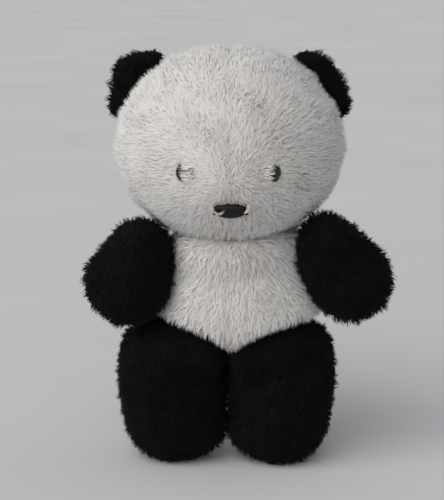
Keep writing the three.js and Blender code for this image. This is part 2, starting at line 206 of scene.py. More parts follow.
@dataclass(frozen=True)
class PileFinish:
    """Acrylic pile on a knitted backing: matt, with a soft sheen at grazing angles.

    The piece's own UV map says where on a lock a point is: across is the lock's tone, and up is
    from its root to its tip. Roots are darker, because light hardly reaches the backing.
    """

    name: str
    tones: tuple[tuple[float, str], ...]
    shades: tuple[tuple[float, str], ...]
    sheen: float
    sheen_code: str
    roughness: float = 0.9
    sheen_roughness: float = 0.45
    gloss: float = 0.2

    def material(self) -> bpy.types.Material:
        """Build the material."""
        material, tree, shader = new_material(self.name)
        uv = add_node(tree, "ShaderNodeUVMap", {"uv_map": UV_NAME})
        parts = add_node(tree, "ShaderNodeSeparateXYZ", inputs={"Vector": uv.outputs["UV"]})
        tone = add_ramp(tree, parts.outputs["X"], list(self.tones))
        shade = add_ramp(tree, parts.outputs["Y"], list(self.shades))
        mixed = add_node(
            tree,
            "ShaderNodeMix",
            {"data_type": "RGBA", "blend_type": "MULTIPLY"},
            {"Factor": 1.0, "A": tone, "B": shade},
        )
        looks = {
            "Base Color": mixed.outputs["Result"],
            "Roughness": self.roughness,
            "Sheen Weight": self.sheen,
            "Sheen Roughness": self.sheen_roughness,
            "Sheen Tint": linear(self.sheen_code),
            "Specular IOR Level": self.gloss,
        }
        set_inputs(shader, looks)
        return material


@dataclass(frozen=True)
class FibreFinish:
    """Polyester fibre or spun thread: white, matt and streaky."""

    name: str
    dark: str
    light: str
    streak_mm: float
    roughness: float = 0.85
    bump_depth: float = 0.3 * MM

    def material(self) -> bpy.types.Material:
        """Build the material."""
        material, tree, shader = new_material(self.name)
        place = add_node(tree, "ShaderNodeTexCoord")
        noise = add_node(
            tree,
            "ShaderNodeTexNoise",
            inputs={
                "Vector": place.outputs["Object"],
                "Scale": 1000 / self.streak_mm,
                "Detail": 4.0,
                "Roughness": 0.7,
                "Distortion": 1.2,
            },
        )
        colour = add_ramp(tree, noise.outputs["Fac"], [(0.3, self.dark), (0.7, self.light)])
        bump = add_node(
            tree,
            "ShaderNodeBump",
            inputs={"Height": noise.outputs["Fac"], "Distance": self.bump_depth, "Strength": 0.6},
        )
        looks = {
            "Base Color": colour,
            "Normal": bump.outputs["Normal"],
            "Roughness": self.roughness,
        }
        set_inputs(shader, looks)
        return material


@dataclass(frozen=True)
class PlasticFinish:
    """Injection-moulded plastic: gloss or fine spark-eroded grain, with handling marks."""

    name: str
    colour: str
    worn: str
    roughness: tuple[float, float]
    grain_mm: float
    grain_depth_mm: float
    gloss: float = 0.5
    marks_scale: float = 260.0

    def material(self) -> bpy.types.Material:
        """Build the material."""
        material, tree, shader = new_material(self.name)
        place = add_node(tree, "ShaderNodeTexCoord")
        grain = add_node(
            tree,
            "ShaderNodeTexNoise",
            inputs={
                "Vector": place.outputs["Object"],
                "Scale": 1000 / self.grain_mm,
                "Detail": 3.0,
            },
        )
        marks = add_node(
            tree,
            "ShaderNodeTexNoise",
            inputs={
                "Vector": place.outputs["Object"],
                "Scale": self.marks_scale,
                "Detail": 5.0,
                "Roughness": 0.65,
            },
        )
        colour = add_ramp(tree, marks.outputs["Fac"], [(0.45, self.colour), (0.75, self.worn)])
        rough = add_node(
            tree,
            "ShaderNodeMapRange",
            inputs={
                "Value": marks.outputs["Fac"],
                "From Min": 0.35,
                "From Max": 0.7,
                "To Min": self.roughness[0],
                "To Max": self.roughness[1],
            },
        )
        bump = add_node(
            tree,
            "ShaderNodeBump",
            inputs={
                "Height": grain.outputs["Fac"],
                "Distance": self.grain_depth_mm * MM,
                "Strength": 1.0,
            },
        )
        looks = {
            "Base Color": colour,
            "Roughness": rough.outputs["Result"],
            "Normal": bump.outputs["Normal"],
            "Specular IOR Level": self.gloss,
        }
        set_inputs(shader, looks)
        return material


# ---------------------------------------------------------------- pile


def flat_normals(corners: Array) -> Array:
    """Give each triangle's normal, as long as twice its area, from its three corners."""
    return np.cross(corners[:, 1] - corners[:, 0], corners[:, 2] - corners[:, 0])


def tree_of(points: Array) -> kdtree.KDTree:
    """Sort points into a tree that finds the nearest one."""
    tree = kdtree.KDTree(len(points))
    for at, point in enumerate(points):
        tree.insert(point, at)
    tree.balance()
    return tree


def link_object(name: str, data: bpy.types.ID) -> bpy.types.Object:
    """Make an object of some data and put it in the scene."""
    made = bpy.data.objects.new(name, data)
    bpy.context.scene.collection.objects.link(made)
    return made


@dataclass
class Surface:
    """A triangulated surface that pile grows on."""

    points: Array
    normals: Array
    faces: Array

    def sample(self, density: float, draw: np.random.Generator) -> tuple[Array, Array]:
        """Spread places evenly over the surface.

        Args:
            density: Places a square metre.
            draw: The random numbers.

        Returns:
            The places and the surface's normals there.
        """
        corners = self.points[self.faces]
        areas = np.linalg.norm(flat_normals(corners), axis=1) / 2
        total = np.cumsum(areas)
        count = int(total[-1] * density)
        spots = (np.arange(count) + draw.random(count)) / count * total[-1]
        which = np.minimum(np.searchsorted(total, spots), len(areas) - 1)
        a, b = draw.random(count), draw.random(count)
        flip = a + b > 1
        a[flip], b[flip] = 1 - a[flip], 1 - b[flip]
        weights = np.stack([1 - a - b, a, b], 1)[:, :, None]
        places = (corners[which] * weights).sum(1)
        normals = unit((self.normals[self.faces[which]] * weights).sum(1))
        return places, normals


@dataclass
class Mesh:
    """Vertices, faces and what goes with them, gathered before they become a Blender mesh."""

    points: Array
    normals: Array
    loops: Array
    sizes: Array
    uvs: Array

    @staticmethod
    def joined(meshes: list["Mesh"]) -> "Mesh":
        """Put several into one."""
        starts = np.cumsum([0] + [len(m.points) for m in meshes[:-1]])
        return Mesh(
            np.concatenate([m.points for m in meshes]),
            np.concatenate([m.normals for m in meshes]),
            np.concatenate([m.loops + start for m, start in zip(meshes, starts)]),
            np.concatenate([m.sizes for m in meshes]),
            np.concatenate([m.uvs for m in meshes]),
        )

    def to_object(self, name: str, material: bpy.types.Material) -> bpy.types.Object:
        """Make the object, smooth, with its own normals and UV map.

        Args:
            name: The piece's name.
            material: Its finish.

        Returns:
            The linked object, at the origin.
        """
        mesh = bpy.data.meshes.new(name)
        mesh.vertices.add(len(self.points))
        mesh.vertices.foreach_set("co", self.points.astype(np.float32).ravel())
        mesh.loops.add(len(self.loops))
        mesh.loops.foreach_set("vertex_index", self.loops.astype(np.int32))
        mesh.polygons.add(len(self.sizes))
        starts = np.concatenate([[0], np.cumsum(self.sizes)[:-1]])
        mesh.polygons.foreach_set("loop_start", starts.astype(np.int32))
        mesh.polygons.foreach_set("loop_total", self.sizes.astype(np.int32))
        mesh.update(calc_edges=True)
        mesh.polygons.foreach_set("use_smooth", np.ones(len(self.sizes), bool))
        layer = mesh.uv_layers.new(name=UV_NAME)
        layer.data.foreach_set("uv", self.uvs.astype(np.float32).ravel())
        mesh.normals_split_custom_set_from_vertices(unit(self.normals).tolist())
        mesh.materials.append(material)
        return link_object(name, mesh)


@dataclass(frozen=True)
class Pile:
    """How the locks of a pile cloth stand.

    A lock is a closed, three-sided spike of fibres. Locks gather into tufts and lie along the nap.
    """

    length: float
    width: float
    per_mm2: float
    upright: float
    flatten: float
    gather: float
    tuft: int
    curl: float
    rings: tuple[float, ...]
    spread: float = 0.25
    rounding: float = 0.5

    def grow(
        self,
        surface: Surface,
        nap: Callable[[Array, Array], Array],
        length_at: Field,
        tone_at: Field,
        bare_at: Field,
        seed: int,
    ) -> Mesh:
        """Grow the locks.

        Args:
            surface: What they stand on.
            nap: From places and normals, the way the pile lies there, as long as it is strong.
            length_at: From places, how long the pile is there, as a share of its full length.
            tone_at: From places, the pile's tone there, from 0 to 1.
            bare_at: From places, true where nothing grows.
            seed: Which random numbers.

        Returns:
            The locks.
        """
        draw = np.random.default_rng(seed)
        roots, normals = surface.sample(self.per_mm2 * 1e6, draw)
        keep = ~bare_at(roots)
        roots, normals = roots[keep], normals[keep]
        count = len(roots)
        lie = nap(roots, normals)
        lie -= normals * (lie * normals).sum(1, keepdims=True)
        strength = np.clip(np.linalg.norm(lie, axis=1, keepdims=True), 0, STRONGEST_NAP)
        jitter = np.cross(normals, unit(draw.normal(size=(count, 3))))
        lie = unit(lie + jitter * self.spread)
        side = np.cross(normals, lie)
        lengths = (self.length * length_at(roots) * draw.uniform(*LOCK_LENGTHS, count))[:, None]
        start = self.upright * (0.6 + 0.4 * strength)
        lean = self.flatten * strength
        stations = np.array([*self.rings, 1.0])
        phase = draw.uniform(0, 2 * math.pi, (count, 1))
        line = [roots - normals * ROOT_DEPTH]
        for low, high in zip(stations[:-1], stations[1:]):
            middle = (low + high) / 2
            angle = np.clip(start + (lean - start) * middle * 1.3, 0, MOST_LEAN)
            wave = self.curl * np.sin(phase + middle * 7.0)
            wave_up = self.curl * np.cos(phase * 1.7 + middle * 6.0)
            rise = normals * (np.cos(angle) + 0.5 * wave_up)
            way = unit(rise + lie * np.sin(angle) + side * wave)
            line.append(line[-1] + way * lengths * (high - low))
        centre = np.stack(line, 1)
        centre = self._tufted(centre, stations, draw)
        centre[:, :, 2] = np.maximum(centre[:, :, 2], self.width)
        return self.skin(centre, normals, tone_at(roots), draw)

    def _tufted(self, centre: Array, stations: Array, draw: np.random.Generator) -> Array:
        """Draw the tips of neighbouring locks towards one another."""
        count = len(centre)
        leaders = draw.choice(count, max(1, count // self.tuft), replace=False)
        tree = tree_of(centre[leaders, 0])
        nearest = np.array([tree.find(root)[1] for root in centre[:, 0].tolist()])
        pull = centre[leaders[nearest], -1] - centre[:, -1]
        share = self.gather * draw.uniform(0.6, 1.0, (count, 1, 1))
        return centre + pull[:, None, :] * (share * (stations**1.6)[None, :, None])

    def skin(
        self, centre: Array, normals: Array, tones: Array, draw: np.random.Generator
    ) -> Mesh:
        """Skin each centre line with a three-sided spike.

        Args:
            centre: The centre lines, as locks by stations by coordinates.
            normals: The cloth's normal at each root.
            tones: Each lock's tone.
            draw: The random numbers.

        Returns:
            The locks.
        """
        stations = np.array([*self.rings, 1.0])
        count, steps = centre.shape[:2]
        body = steps - 1
        ways = unit(np.diff(centre, axis=1))
        ways = np.concatenate([ways[:, :1], ways], 1)[:, :body]
        across = unit(np.cross(ways, normals[:, None, :]) + 1e-9)
        over = np.cross(ways, across)
        turn = draw.uniform(0, 2 * math.pi, (count, 1))
        taper = (1 - LOCK_TAPER * stations[:body] ** 1.5)[None, :]
        widths = self.width / 2 * draw.uniform(*LOCK_WIDTHS, (count, 1)) * taper
        rings = []
        rounds = []
        for corner in range(3):
            angle = (turn + corner * 2 * math.pi / 3)[:, :, None]
            outward = across * np.cos(angle) + over * np.sin(angle)
            rings.append(centre[:, :body] + outward * widths[:, :, None])
            rounds.append(outward)
        points = np.stack(rings, 2).reshape(count, body * 3, 3)
        outward = np.stack(rounds, 2).reshape(count, body * 3, 3)
        points = np.concatenate([points, centre[:, -1:]], 1)
        outward = np.concatenate([outward, ways[:, -1:]], 1)
        shading = unit(normals[:, None, :] + outward * self.rounding)
        verts = body * 3 + 1
        loops, sizes, uvs = [], [], []
        for ring in range(body - 1):
            for corner in range(3):
                after = (corner + 1) % 3
                low, high = ring * 3, ring * 3 + 3
                loops += [low + corner, low + after, high + after, high + corner]
                sizes.append(4)
                left, right = corner / 3, (corner + 1) / 3
                bottom, top = stations[ring], stations[ring + 1]
                uvs += [(left, bottom), (right, bottom), (right, top), (left, top)]
        last = (body - 1) * 3
        for corner in range(3):
            after = (corner + 1) % 3
            loops += [last + corner, last + after, body * 3]
            sizes.append(3)
            left, right = corner / 3, (corner + 1) / 3
            bottom = stations[body - 1]
            uvs += [(left, bottom), (right, bottom), ((left + right) / 2, 1.0)]
        loops += [0, 2, 1]
        sizes.append(3)
        uvs += [(0.0, 0.0), (1.0, 0.0), (0.5, ROOT_EDGE)]
        pattern = np.array(uvs)
        tone = np.clip(tones + draw.normal(0, TONE_SPREAD, count), *TONE_LIMITS)
        uv = np.empty((count, len(pattern), 2))
        uv[:, :, 0] = tone[:, None] + pattern[None, :, 0] * TONE_STRIP
        uv[:, :, 1] = ROOT_EDGE + LOCK_SPAN * pattern[None, :, 1]
        all_loops = (np.array(loops)[None, :] + np.arange(count)[:, None] * verts).ravel()
        return Mesh(
            points.reshape(-1, 3),
            shading.reshape(-1, 3),
            all_loops,
            np.tile(np.array(sizes), count),
            uv.reshape(-1, 2),
        )


# ---------------------------------------------------------------- stuffed forms


def deselect() -> None:
    """Leave edit mode and select nothing."""
    if bpy.context.object and bpy.context.object.mode != "OBJECT":
        bpy.ops.object.mode_set(mode="OBJECT")
    bpy.ops.object.select_all(action="DESELECT")


def activate(piece: bpy.types.Object) -> None:
    """Select one object and make it the active one."""
    deselect()
    piece.select_set(True)
    bpy.context.view_layer.objects.active = piece


def apply_modifier(piece: bpy.types.Object, kind: str, **settings: object) -> None:
    """Add a modifier with its settings and apply it.

    Args:
        piece: The object.
        kind: The modifier's type.
        settings: Its properties by name.
    """
    activate(piece)
    modifier = piece.modifiers.new(kind.title(), kind)
    for name, value in settings.items():
        setattr(modifier, name, value)
    bpy.ops.object.modifier_apply(modifier=modifier.name)


def mesh_points(mesh: bpy.types.Mesh) -> Array:
    """Give a mesh's vertices, one a row."""
    points = np.empty(len(mesh.vertices) * 3)
    mesh.vertices.foreach_get("co", points)
    return points.reshape(-1, 3)


def node_points(name: str) -> Array:
    """Give a CAD node's vertices, one a row."""
    return mesh_points(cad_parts[name].data)


def node_box(name: str) -> tuple[Array, Array]:
    """Give a CAD node's lowest and highest corners."""
    low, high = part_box(name)
    return np.array(low), np.array(high)


def copy_nodes(name: str, nodes: tuple[str, ...]) -> bpy.types.Object:
    """Copy several CAD nodes into one new object.

    Args:
        name: The new object's name.
        nodes: The CAD nodes.

    Returns:
        The object, which is not a piece yet.
    """
    shape = bmesh.new()
    for node in nodes:
        shape.from_mesh(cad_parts[node].data)
    bmesh.ops.remove_doubles(shape, verts=shape.verts, dist=1e-6)
    mesh = bpy.data.meshes.new(name)
    shape.to_mesh(mesh)
    shape.free()
    return link_object(name, mesh)


def keep_largest_shell(piece: bpy.types.Object) -> None:
    """Delete every loose shell of a mesh but the one with the most vertices."""
    shape = bmesh.new()
    shape.from_mesh(piece.data)
    shape.verts.ensure_lookup_table()
    left = set(range(len(shape.verts)))
    shells = []
    while left:
        found = {left.pop()}
        edge = list(found)
        while edge:
            vert = shape.verts[edge.pop()]
            for link in vert.link_edges:
                other = link.other_vert(vert).index
                if other in left:
                    left.remove(other)
                    found.add(other)
                    edge.append(other)
        shells.append(found)
    largest = max(shells, key=len)
    others = [vert for vert in shape.verts if vert.index not in largest]
    bmesh.ops.delete(shape, geom=others, context="VERTS")
    shape.to_mesh(piece.data)
    shape.free()


def write_points(piece: bpy.types.Object, points: Array) -> None:
    """Put an object's vertices at new places."""
    piece.data.vertices.foreach_set("co", points.astype(np.float32).ravel())
    piece.data.update()


@dataclass(frozen=True)
class Seam:
    """A plane that two panels meet at, and how deep and how far the stitches pull the cloth in."""

    point: tuple[float, float, float]
    normal: tuple[float, float, float]
    depth: float = 0.8 * MM
    reach: float = 2.5 * MM

    def distance(self, points: Array) -> Array:
        """Give the signed distance of each point from the plane."""
        return (points - np.array(self.point)) @ np.array(self.normal)


@dataclass(frozen=True)
class Pad:
    """An egg of extra filling that rounds a form out."""

    centre: tuple[float, float, float]
    radii: tuple[float, float, float]

    def join_to(self, form: bpy.types.Object) -> None:
        """Add the egg to a form as one more shell."""
        deselect()
        bpy.ops.mesh.primitive_uv_sphere_add(
            segments=32, ring_count=16, radius=1, location=self.centre
        )
        egg = bpy.context.object
        bpy.ops.object.mode_set(mode="EDIT")
        bpy.ops.mesh.select_all(action="SELECT")
        bpy.ops.transform.resize(value=self.radii, center_override=self.centre)
        bpy.ops.object.mode_set(mode="OBJECT")
        form.select_set(True)
        egg.select_set(True)
        bpy.context.view_layer.objects.active = form
        bpy.ops.object.join()


@dataclass(frozen=True)
class CoverCloth:
    """How the cover's cloth behaves while it is pressed from inside.

    The most that a point may move is given as a share of the form's swell.
    """

    pressure: float = 40.0
    mass: float = 0.03
    stiffness: float = 8.0
    steps: int = 20
    most_move: float = 1.6
    seam_reach: float = 0.6


@dataclass
class StuffedForm:
    """A closed cover rounded out over its filling, as a smooth closed shape."""

    nodes: tuple[str, ...]
    name: str
    voxel: float = 4 * MM
    inset: float = 3 * MM
    swell: float = 1.5 * MM
    smoothing: int = 8
    seams: tuple[Seam, ...] = ()
    pads: tuple[Pad, ...] = ()
    cloth: CoverCloth = CoverCloth()

    def build(self) -> bpy.types.Object:
        """Round the form out.

        Returns:
            The form, a working object that the panels are cut from.
        """
        form = copy_nodes(self.name, self.nodes)
        for pad in self.pads:
            pad.join_to(form)
        apply_modifier(form, "REMESH", mode="VOXEL", voxel_size=self.voxel)
        keep_largest_shell(form)
        cover = BVHTree.FromObject(form, bpy.context.evaluated_depsgraph_get())
        apply_modifier(form, "SMOOTH", factor=0.5, iterations=self.smoothing)
        apply_modifier(form, "DISPLACE", strength=-self.swell, mid_level=0.0)
        self._press_out(form)
        self._settle(form, cover)
        apply_modifier(form, "SMOOTH", factor=0.5, iterations=2)
        self._settle(form, cover)
        apply_modifier(form, "SUBSURF", levels=1, render_levels=1)
        return form

    def _settle(self, form: bpy.types.Object, cover: BVHTree) -> None:
        """Bring the form to lie, on the whole, its inset inside the CAD cover."""
        gaps = []
        for point in mesh_points(form.data):
            spot, normal, _, _ = cover.find_nearest(Vector(point))
            gaps.append((Vector(point) - spot).dot(normal))
        move = -self.inset - float(np.median(gaps))
        apply_modifier(form, "DISPLACE", strength=move, mid_level=0.0)

    def _press_out(self, form: bpy.types.Object) -> None:
        """Swell the cover with a cloth simulation whose seams are held."""
        before = mesh_points(form.data)
        held = form.vertex_groups.new(name="seams")
        near = np.zeros(len(before), bool)
        for seam in self.seams:
            near |= np.abs(seam.distance(before)) < self.voxel * self.cloth.seam_reach
        held.add(np.flatnonzero(near).tolist(), 1.0, "REPLACE")
        activate(form)
        cloth = form.modifiers.new("Cloth", "CLOTH")
        cloth.settings.use_pressure = True
        cloth.settings.uniform_pressure_force = self.cloth.pressure
        cloth.settings.effector_weights.gravity = 0.0
        cloth.settings.mass = self.cloth.mass
        cloth.settings.tension_stiffness = self.cloth.stiffness
        cloth.settings.compression_stiffness = self.cloth.stiffness
        cloth.settings.vertex_group_mass = "seams"
        cloth.point_cache.frame_start = 1
        cloth.point_cache.frame_end = self.cloth.steps
        for step in range(1, self.cloth.steps + 1):
            bpy.context.scene.frame_set(step)
        seen = form.evaluated_get(bpy.context.evaluated_depsgraph_get())
        moves = mesh_points(seen.data) - before
        form.modifiers.remove(cloth)
        bpy.context.scene.frame_set(1)
        sizes = np.linalg.norm(moves, axis=1, keepdims=True)
        mean, most = sizes.mean() / MM, sizes.max() / MM
        log.info("%s swells by %.1f mm, %.1f mm at most", self.name, mean, most)
        cap = self.swell * self.cloth.most_move
        write_points(form, before + moves * np.minimum(1, cap / np.maximum(sizes, 1e-9)))


def smooth_normals(points: Array, faces: Array) -> Array:
    """Give area-weighted vertex normals."""
    flat = flat_normals(points[faces])
    normals = np.zeros_like(points)
    for corner in range(3):
        np.add.at(normals, faces[:, corner], flat)
    return unit(normals)


def cut_form(form: bpy.types.Object, seams: tuple[Seam, ...]) -> tuple[Array, Array, Array]:
    """Cut a form along its seams and pull the seams in.

    Args:
        form: The closed form.
        seams: The planes to cut along.

    Returns:
        Vertices, vertex normals and triangles.
    """
    shape = bmesh.new()
    shape.from_mesh(form.data)
    for seam in seams:
        parts = [*shape.verts, *shape.edges, *shape.faces]
        bmesh.ops.bisect_plane(
            shape, geom=parts, plane_co=seam.point, plane_no=seam.normal, dist=0.01 * MM
        )
    bmesh.ops.triangulate(shape, faces=shape.faces)
    points = np.array([v.co for v in shape.verts])
    shape.verts.index_update()
    faces = np.array([[v.index for v in f.verts] for f in shape.faces])
    shape.free()
    normals = smooth_normals(points, faces)
    for seam in seams:
        near = np.exp(-((seam.distance(points) / seam.reach) ** 2))
        points = points - normals * (near * seam.depth)[:, None]
    return points, smooth_normals(points, faces), faces


def backing(points: Array, normals: Array, faces: Array, tones: Array) -> Mesh:
    """Make a panel of backing cloth as a closed thin shell.

    Args:
        points: The whole form's vertices.
        normals: Their normals.
        faces: The triangles of this panel.
        tones: The tone at each vertex.

    Returns:
        The panel.
    """
    used, local = np.unique(faces, return_inverse=True)
    local = local.reshape(faces.shape)
    outer = points[used]
    inner = outer - normals[used] * BACKING_THICKNESS
    count = len(used)
    edges = np.concatenate([local[:, [0, 1]], local[:, [1, 2]], local[:, [2, 0]]])
    keys = edges[:, 0] * count + edges[:, 1]
    back = edges[:, 1] * count + edges[:, 0]
    rim = edges[~np.isin(keys, back)]
    walls = np.stack([rim[:, 1], rim[:, 0], rim[:, 0] + count, rim[:, 1] + count], 1)
    loops = np.concatenate([local.ravel(), (local[:, ::-1] + count).ravel(), walls.ravel()])
    sizes = np.concatenate([np.full(2 * len(local), 3), np.full(len(walls), 4)])
    triangle, square = [(0, 0), (1, 0), (0.5, 1)], [(0, 0), (1, 0), (1, 1), (0, 1)]
    spots = [np.tile(triangle, (2 * len(local), 1)), np.tile(square, (len(walls), 1))]
    tone = np.clip(tones[used], *TONE_LIMITS)
    facet = np.repeat(tone[local[:, 0]], 3)
    uvs = np.concatenate(spots) * TONE_STRIP
    uvs[:, 0] += np.concatenate([facet, facet, np.repeat(tone[rim[:, 0]], 4)])
    all_normals = np.concatenate([normals[used], -normals[used]])
    return Mesh(np.concatenate([outer, inner]), all_normals, loops, sizes, uvs)


def register(
    piece: bpy.types.Object, node: str, body: str
) -> None:
    """Tell the frame what a piece moves with, and hide the CAD node it stands for.

    Args:
        piece: The finished piece.
        node: The CAD node it stands for.
        body: The body it moves with.
    """
    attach(piece, body)
    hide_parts(node)
    log.info("%s: %d faces, moves with %s", piece.name, len(piece.data.polygons), body)


@dataclass
class Panel:
    """A panel of a cover: the CAD node it stands for, and which side of each seam it is on."""

    node: str
    sides: tuple[int, ...]


@dataclass
class Cover:
    """The pile-cloth cover of one stuffed part, in panels sewn along its seams."""

    body: str
    form: StuffedForm
    panels: tuple[Panel, ...]
    pile: Pile
    slot: str
    seed: int
    nap: Callable[[Array, Array], Array]
    length_at: Field
    tone_at: Field
    fill: float = 0.85
    bare_at: Field = lambda places: np.zeros(len(places), bool)
    shape: Callable[[Array, Array], Array] | None = None
    extra: Callable[[str], list[Mesh]] = lambda node: []

    def build(self, material: bpy.types.Material) -> None:
        """Build the form, cut it into panels and grow their pile.

        Args:
            material: The pile's material.
        """
        form = self.form.build()
        points, normals, faces = cut_form(form, self.form.seams)
        if self.shape is not None:
            points = self.shape(points, normals)
            normals = smooth_normals(points, faces)
        bpy.data.objects.remove(form)
        middles = points[faces].mean(1)
        sides = np.stack([seam.distance(middles) > 0 for seam in self.form.seams], 1)
        fields = (self.nap, self.length_at, self.tone_at, self.bare_at)
        for at, panel in enumerate(self.panels):
            wanted = np.ones(len(faces), bool)
            for which, side in enumerate(panel.sides):
                if side:
                    wanted &= sides[:, which] == (side > 0)
            own = faces[wanted]
            skin = backing(points, normals, own, self.tone_at(points))
            locks = self.pile.grow(Surface(points, normals, own), *fields, self.seed + at)
            whole = Mesh.joined([skin, locks, *self.extra(panel.node)])
            piece = whole.to_object(panel.node + "_pile", material)
            register(piece, panel.node, self.body)


@dataclass
class Filling:
    """Polyester filling or wadding: the CAD solid made lumpy, as teased fibre is."""

    node: str
    body: str
    voxel: float = 3.5 * MM
    lump: float = 1.2 * MM
    lump_spacing: float = 9 * MM
    seed: int = 5
    fill: float = 0.9

    def build(self, material: bpy.types.Material) -> None:
        """Make the filling."""
        piece = copy_nodes(self.node + "_fibre", (self.node,))
        apply_modifier(piece, "REMESH", mode="VOXEL", voxel_size=self.voxel)
        apply_modifier(piece, "SMOOTH", factor=0.5, iterations=2)
        points = mesh_points(piece.data)
        lumps = self.lump * (0.5 + 0.5 * ripple(points, self.lump_spacing, self.seed))
        write_points(piece, points - unit(points - points.mean(0)) * lumps[:, None])
        activate(piece)
        bpy.ops.object.shade_smooth()
        piece.data.materials.clear()
        piece.data.materials.append(material)
        register(piece, self.node, self.body)


# ---------------------------------------------------------------- moulded pieces


def select_faces(test: Callable[[bmesh.types.BMFace], bool]) -> None:
    """Select, in edit mode, the active object's faces that pass a test and no others."""
    bpy.ops.mesh.select_mode(type="FACE")
    bpy.ops.mesh.select_all(action="DESELECT")
    mesh = bpy.context.object.data
    shape = bmesh.from_edit_mesh(mesh)
    for face in shape.faces:
        face.select_set(test(face))
    bmesh.update_edit_mesh(mesh)


def extrude(height: float) -> None:
    """Push the selected faces out along Z, leaving new walls behind."""
    bpy.ops.mesh.extrude_region_move(TRANSFORM_OT_translate={"value": (0, 0, height)})


@dataclass
class Seat:
    """Where a moulded button sits: the middle of its CAD node, its top and the way it faces."""

    node: str
    inside: tuple[float, float, float] = (0.0, 0.0, 0.19)

    def __post_init__(self) -> None:
        """Read the button's middle and its facing from the CAD."""
        ring = node_points(self.node + "_washer")
        _, _, ways = np.linalg.svd(ring - ring.mean(0), full_matrices=False)
        facing = ways[2] if ways[2] @ (ring.mean(0) - np.array(self.inside)) > 0 else -ways[2]
        across = unit(np.cross((0.0, 0.0, 1.0), facing))
        self.basis = np.stack([across, np.cross(facing, across), facing], 1)
        local = node_points(self.node) @ self.basis
        low, high = local.min(0), local.max(0)
        self.top = np.array([(low[0] + high[0]) / 2, (low[1] + high[1]) / 2, high[2]])

    def place(self, points: Array, top: float) -> Array:
        """Carry points from the button's own frame to the panda's.

        Args:
            points: Points about the button's origin, with Z the way it faces.
            top: How high above its own origin the button's top is.

        Returns:
            The points in the panda's frame.
        """
        return (points + self.top - np.array((0, 0, top))) @ self.basis.T

    def matrix(self, top: float) -> Matrix:
        """Give the same move as a matrix."""
        matrix = Matrix(self.basis.tolist()).to_4x4()
        matrix.translation = Vector(self.place(np.zeros(3), top).tolist())
        return matrix


def finish_moulded(
    piece: bpy.types.Object, node: str, top: float, material: bpy.types.Material
) -> None:
    """Seat a moulded button on the face and dress it.

    Args:
        piece: The button, modelled about its own origin.
        node: The CAD node it stands for.
        top: How high above its own origin the button's top is.
        material: Its finish.
    """
    piece.name = node + "_moulded"
    piece.data.name = piece.name
    piece.data.transform(Seat(node).matrix(top))
    piece.data.materials.append(material)
    activate(piece)
    bpy.ops.object.shade_smooth_by_angle(angle=SHARP_EDGE)
    register(piece, node, "head")


@dataclass
class Shank:
    """The ribbed stem on the back of a safety button, which its washer locks on."""

    radius: float = 1.8 * MM
    rib: float = 1.35
    ribs: int = 5
    length: float = 8 * MM
    collar: float = 1 * MM

    def grow(self, base: float, reach: float) -> None:
        """Draw the shank down from the underside, in edit mode.

        Args:
            base: The height of the flat underside.
            reach: The underside's half-width.
        """
        near = 0.05 * MM
        select_faces(
            lambda face: face.normal.z < -FACING_Z
            and abs(face.calc_center_median().z - base) < near
        )
        bpy.ops.mesh.inset(thickness=reach - self.radius * 1.2)
        extrude(-self.collar)
        step = (self.length - self.collar) / (2 * self.ribs)
        narrow = 1 / self.rib
        for _ in range(self.ribs):
            extrude(-step)
            bpy.ops.transform.resize(value=(narrow, narrow, 1))
            extrude(-step * 0.4)
            extrude(-step * 0.6)
            bpy.ops.transform.resize(value=(self.rib, self.rib, 1))


@dataclass
class Eye:
    """A domed black safety eye."""

    side: str
    radius: float = 6 * MM
    dome: float = 3.2 * MM
    rim: float = 1 * MM
    shank: Shank = field(default_factory=Shank)

    def build(self, material: bpy.types.Material) -> None:
        """Model the eye and seat it."""
        deselect()
        bpy.ops.mesh.primitive_uv_sphere_add(segments=48, ring_count=24, radius=self.radius)
        piece = bpy.context.object
        bpy.ops.object.mode_set(mode="EDIT")
        bpy.ops.mesh.select_all(action="SELECT")
        bpy.ops.mesh.bisect(
            plane_co=(0, 0, 0), plane_no=(0, 0, 1), clear_inner=True, use_fill=True
        )
        bpy.ops.mesh.select_all(action="SELECT")
        bpy.ops.transform.resize(value=(1, 1, self.dome / self.radius))
        select_faces(lambda face: face.normal.z < -FACING_Z)
        extrude(-self.rim * 0.5)
        bpy.ops.mesh.inset(thickness=self.rim * 0.4)
        bpy.ops.transform.translate(value=(0, 0, -self.rim * 0.5))
        self.shank.grow(-self.rim, self.radius - self.rim * 0.4)
        bpy.ops.object.mode_set(mode="OBJECT")
        finish_moulded(piece, f"eye_{self.side}", self.dome, material)


